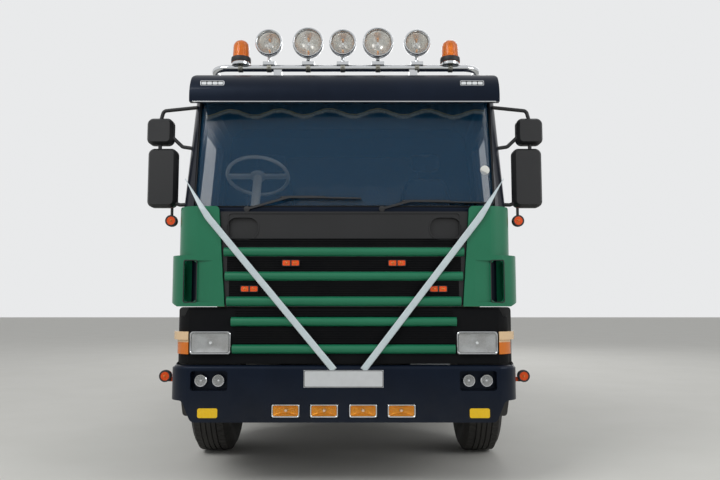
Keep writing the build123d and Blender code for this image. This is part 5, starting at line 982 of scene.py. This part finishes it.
addPiece("headrestPosts", postParts, grainedAbs)
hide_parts("seat_pads")
print("seats padded")

# seat belts: a webbing band behind each door, both edges laid on the wall's inner face
belt = dict(y=faceY + 1.550, low=1.350, high=2.480, half=0.023, thick=0.0014, gap=0.0002, steps=40, startX=0.8)
wallTree = surfaceTree("cab_sides")
beltZ = np.linspace(belt["high"], belt["low"], belt["steps"])
beltParts = []
for sign in (1, -1):
    outer = []
    for y in (belt["y"] - belt["half"], belt["y"] + belt["half"]):
        starts = pointRows(sign * belt["startX"], y, beltZ)
        outer.append(onSurface(wallTree, starts, (sign, 0, 0)) - np.array([sign * belt["gap"], 0, 0]))
    inner = [line - np.array([sign * belt["thick"], 0, 0]) for line in outer]
    beltParts.append(stackShell(np.stack([outer[0], outer[1], inner[1], inner[0]], 1)))
addPiece("seatBelts", beltParts, webbing)
print("belts laid")

# dashboard: four round vents, bare of marks
dash = dict(vents=(-0.92, -0.32, 0.32, 0.92), ventRadius=0.036)
dashTree = surfaceTree("dashboard")
ventParts = []
for x in dash["vents"]:
    top = onSurface(dashTree, [(x, faceY + 0.420, 3.0)], (0, 0, -1))[0]
    ventParts.append(placed(latheShell([(0, -0.001), (dash["ventRadius"], -0.001), (dash["ventRadius"], 0.004),
        (dash["ventRadius"] - 0.005, 0.006), (dash["ventRadius"] - 0.007, 0.003), (0, 0.003)], 32), top, *upright))
addPiece("dashVents", ventParts, grainedAbs)
print("dashboard fitted")

# tank: two straps and a filler cap with a collar
tank = dict(x0=0.520, x1=1.160, z0=0.420, z1=0.960, y0=faceY + 2.500, y1=faceY + 3.500, inset=0.180, shift=0.07,
    wrap=1.25, reach=0.9, proud=0.0022, capX=0.900, capY=0.350)
tankTree = surfaceTree("fuel_tank")
strapParts = []
for y in (tank["y0"] + tank["inset"], tank["y1"] - tank["inset"]):
    path = []
    for a in np.linspace(-tank["wrap"], tank["wrap"], 40):
        outward = np.array([math.cos(a), 0, math.sin(a)])
        start = np.array([(tank["x0"] + tank["x1"]) / 2, y + tank["shift"],
            (tank["z0"] + tank["z1"]) / 2]) + tank["reach"] * outward
        hit = tankTree.ray_cast(Vector(start), Vector(-outward))[0]
        if hit is not None:
            path.append((hit[0] + tank["proud"] * outward[0], y + tank["shift"], hit[2] + tank["proud"] * outward[2]))
    if len(path) > 6:
        strapParts.append(sweepShell(path, [(-0.020, -0.0015), (0.020, -0.0015), (0.020, 0.0015), (-0.020, 0.0015)],
            up=(1, 0, 0.01)))
if strapParts:
    addPiece("tankStraps", strapParts, zincSteel)
capTop = onSurface(tankTree, [(tank["capX"], tank["y0"] + tank["capY"], 2.0)], (0, 0, -1))[0]
addPiece("tankCap", [placed(latheShell([(0, -0.001), (0.058, -0.001), (0.058, 0.010), (0.050, 0.013), (0.048, 0.030),
    (0.043, 0.034), (0, 0.034)], 40), capTop, *upright)], grainedAbs)
print("tank strapped")

# rear lamps: a raised frame with a pale reverse segment and an amber indicator in each
rearLamp = dict(xs=(-0.900, 0.900), z=0.620, width=0.400, height=0.120, segmentX=0.120,
    segment=(0.104, 0.092, 0.010, 0.0045, 0.001))
rearTree = surfaceTree("rear_lamps")
frameParts, paleParts, amberParts = [], [], []
for x in rearLamp["xs"]:
    hit = onSurface(rearTree, [(x, 6.0, rearLamp["z"])], (0, -1, 0))[0]
    frameParts.append(placed(roundedFrame(rearLamp["width"] + 0.004, rearLamp["height"] + 0.004, 0.014, 0.010, 0.006,
        0.001), (x, hit[1] + 0.0062, rearLamp["z"]), inward=(0, -1, 0)))
    for parts, side in ((paleParts, -1), (amberParts, 1)):
        segmentX = x + side * math.copysign(rearLamp["segmentX"], x)
        parts.append(placed(roundedSlab(*rearLamp["segment"]), (segmentX, hit[1] + 0.0048, rearLamp["z"]),
            inward=(0, -1, 0)))
addPiece("rearLampFrames", frameParts, grainedAbs)
addPiece("reverseLenses", paleParts, lampWhite)
addPiece("rearIndicators", amberParts, beaconAcrylic)
print("rear lamps fitted")

# boards: over-centre latches, five along each side board and four on the tailboard, riding with the board
latch = dict(keep=(0.052, 0.120, 0.012, 0.014, 0.003), lever=(0.022, 0.096, 0.008, 0.020, 0.003), z=1.560,
    sink=0.0005, leverRise=0.006, sideYs=np.linspace(-1.75, 3.55, 5), sideX=2.5, tailXs=(-1.10, -0.37, 0.37, 1.10),
    tailY=6.0)


def addLatches(name, board, starts, outward, across, leverRise):
    # a flat keep with a lever on it at each point where a ray meets the board, sunk a little into it
    tree = surfaceTree(board)
    outward = np.array(outward, float)
    axes = (across, (0, 0, 1), tuple(outward))
    parts = []
    for start in starts:
        foot = onSurface(tree, [start], -outward)[0] - latch["sink"] * outward
        parts.append(placed(roundedSlab(*latch["keep"]), foot, *axes))
        parts.append(placed(roundedSlab(*latch["lever"]), foot + np.array([0, 0, leverRise]), *axes))
    addPiece(name, parts, zincSteel, body=board)


for side, sign in sides:
    starts = [(sign * latch["sideX"], y, latch["z"]) for y in latch["sideYs"]]
    addLatches("sideLatches" + side.capitalize(), "dropside_" + side, starts, (sign, 0, 0), (0, 1, 0),
        latch["leverRise"])
addLatches("tailLatches", "tailboard", [(x, latch["tailY"], latch["z"]) for x in latch["tailXs"]], (0, 1, 0),
    (1, 0, 0), 0)
print("board latches fitted")

# deck: six lashing rings in plates, 1.03 m apart, along both sides; entry steps: raised tread bars
lashing = dict(x=1.075, ys=np.linspace(-1.60, 3.55, 6), plate=(0.120, 0.090), ringRadius=0.032, wire=0.005,
    squash=0.8, hingeX=(0.018, 0.034), hingeHalf=0.012)
deckTree = surfaceTree("load_deck")
deckZ = float(onSurface(deckTree, [(0.6, 0.6, 2.0)], (0, 0, -1))[0][2])
angles = np.linspace(0, 2 * math.pi, 28, endpoint=False)
ringPath = np.stack([lashing["ringRadius"] * np.cos(angles),
    lashing["ringRadius"] * lashing["squash"] * np.sin(angles), np.zeros(28)], -1)
plateParts, ringParts = [], []
for y in lashing["ys"]:
    plateParts.append(placed(roundedFrame(*lashing["plate"], 0.016, 0.012, 0.0035, 0.0008),
        (lashing["x"], y, deckZ - 0.0005), (0, 1, 0), (1, 0, 0), (0, 0, 1)))
    ringParts.append(sweepShell(ringPath + np.array([lashing["x"], y, deckZ + lashing["wire"] + 0.0003]),
        roundSection(lashing["wire"], 8), up=(0, 0, 1), closed=True))
    low, high = (lashing["x"] + step for step in lashing["hingeX"])
    ringParts.append(boxShell((low, y - lashing["hingeHalf"], deckZ - 0.0005),
        (high, y + lashing["hingeHalf"], deckZ + 0.013), 0.003))
addPiece("lashingPlates", both(plateParts), zincSteel)
addPiece("lashingRings", both(ringParts), zincSteel)
tread = dict(levels=((0.460, 1.135), (0.800, 1.165)), inner=0.990, y0=faceY + 0.430, y1=faceY + 0.712, bar=0.008,
    pitch=0.024)
bars = []
for level, outer in tread["levels"]:
    for x in np.arange(tread["inner"], outer - tread["bar"], tread["pitch"]):
        bars.append(boxShell((x, tread["y0"], level - 0.0005), (x + tread["bar"], tread["y1"], level + 0.004), 0.001))
addPiece("stepTreads", both(bars), zincSteel)
print("deck and steps fitted")

# pale studio floor that shows only as background, with the truck's shadow
floorData = bpy.data.meshes.new("floor")
floorData.from_pydata([(-60, -60, 0), (60, -60, 0), (60, 60, 0), (-60, 60, 0)], [], [(0, 1, 2, 3)])
floor = bpy.data.objects.new("floor", floorData)
scene.collection.objects.link(floor)
floorData.materials.append(patterned("floorPaper", studio["floorColour"], "#D6D5CF", 900, 0.4, 0.85, 0.05, 0.2, 6.0))

print("scene finished")
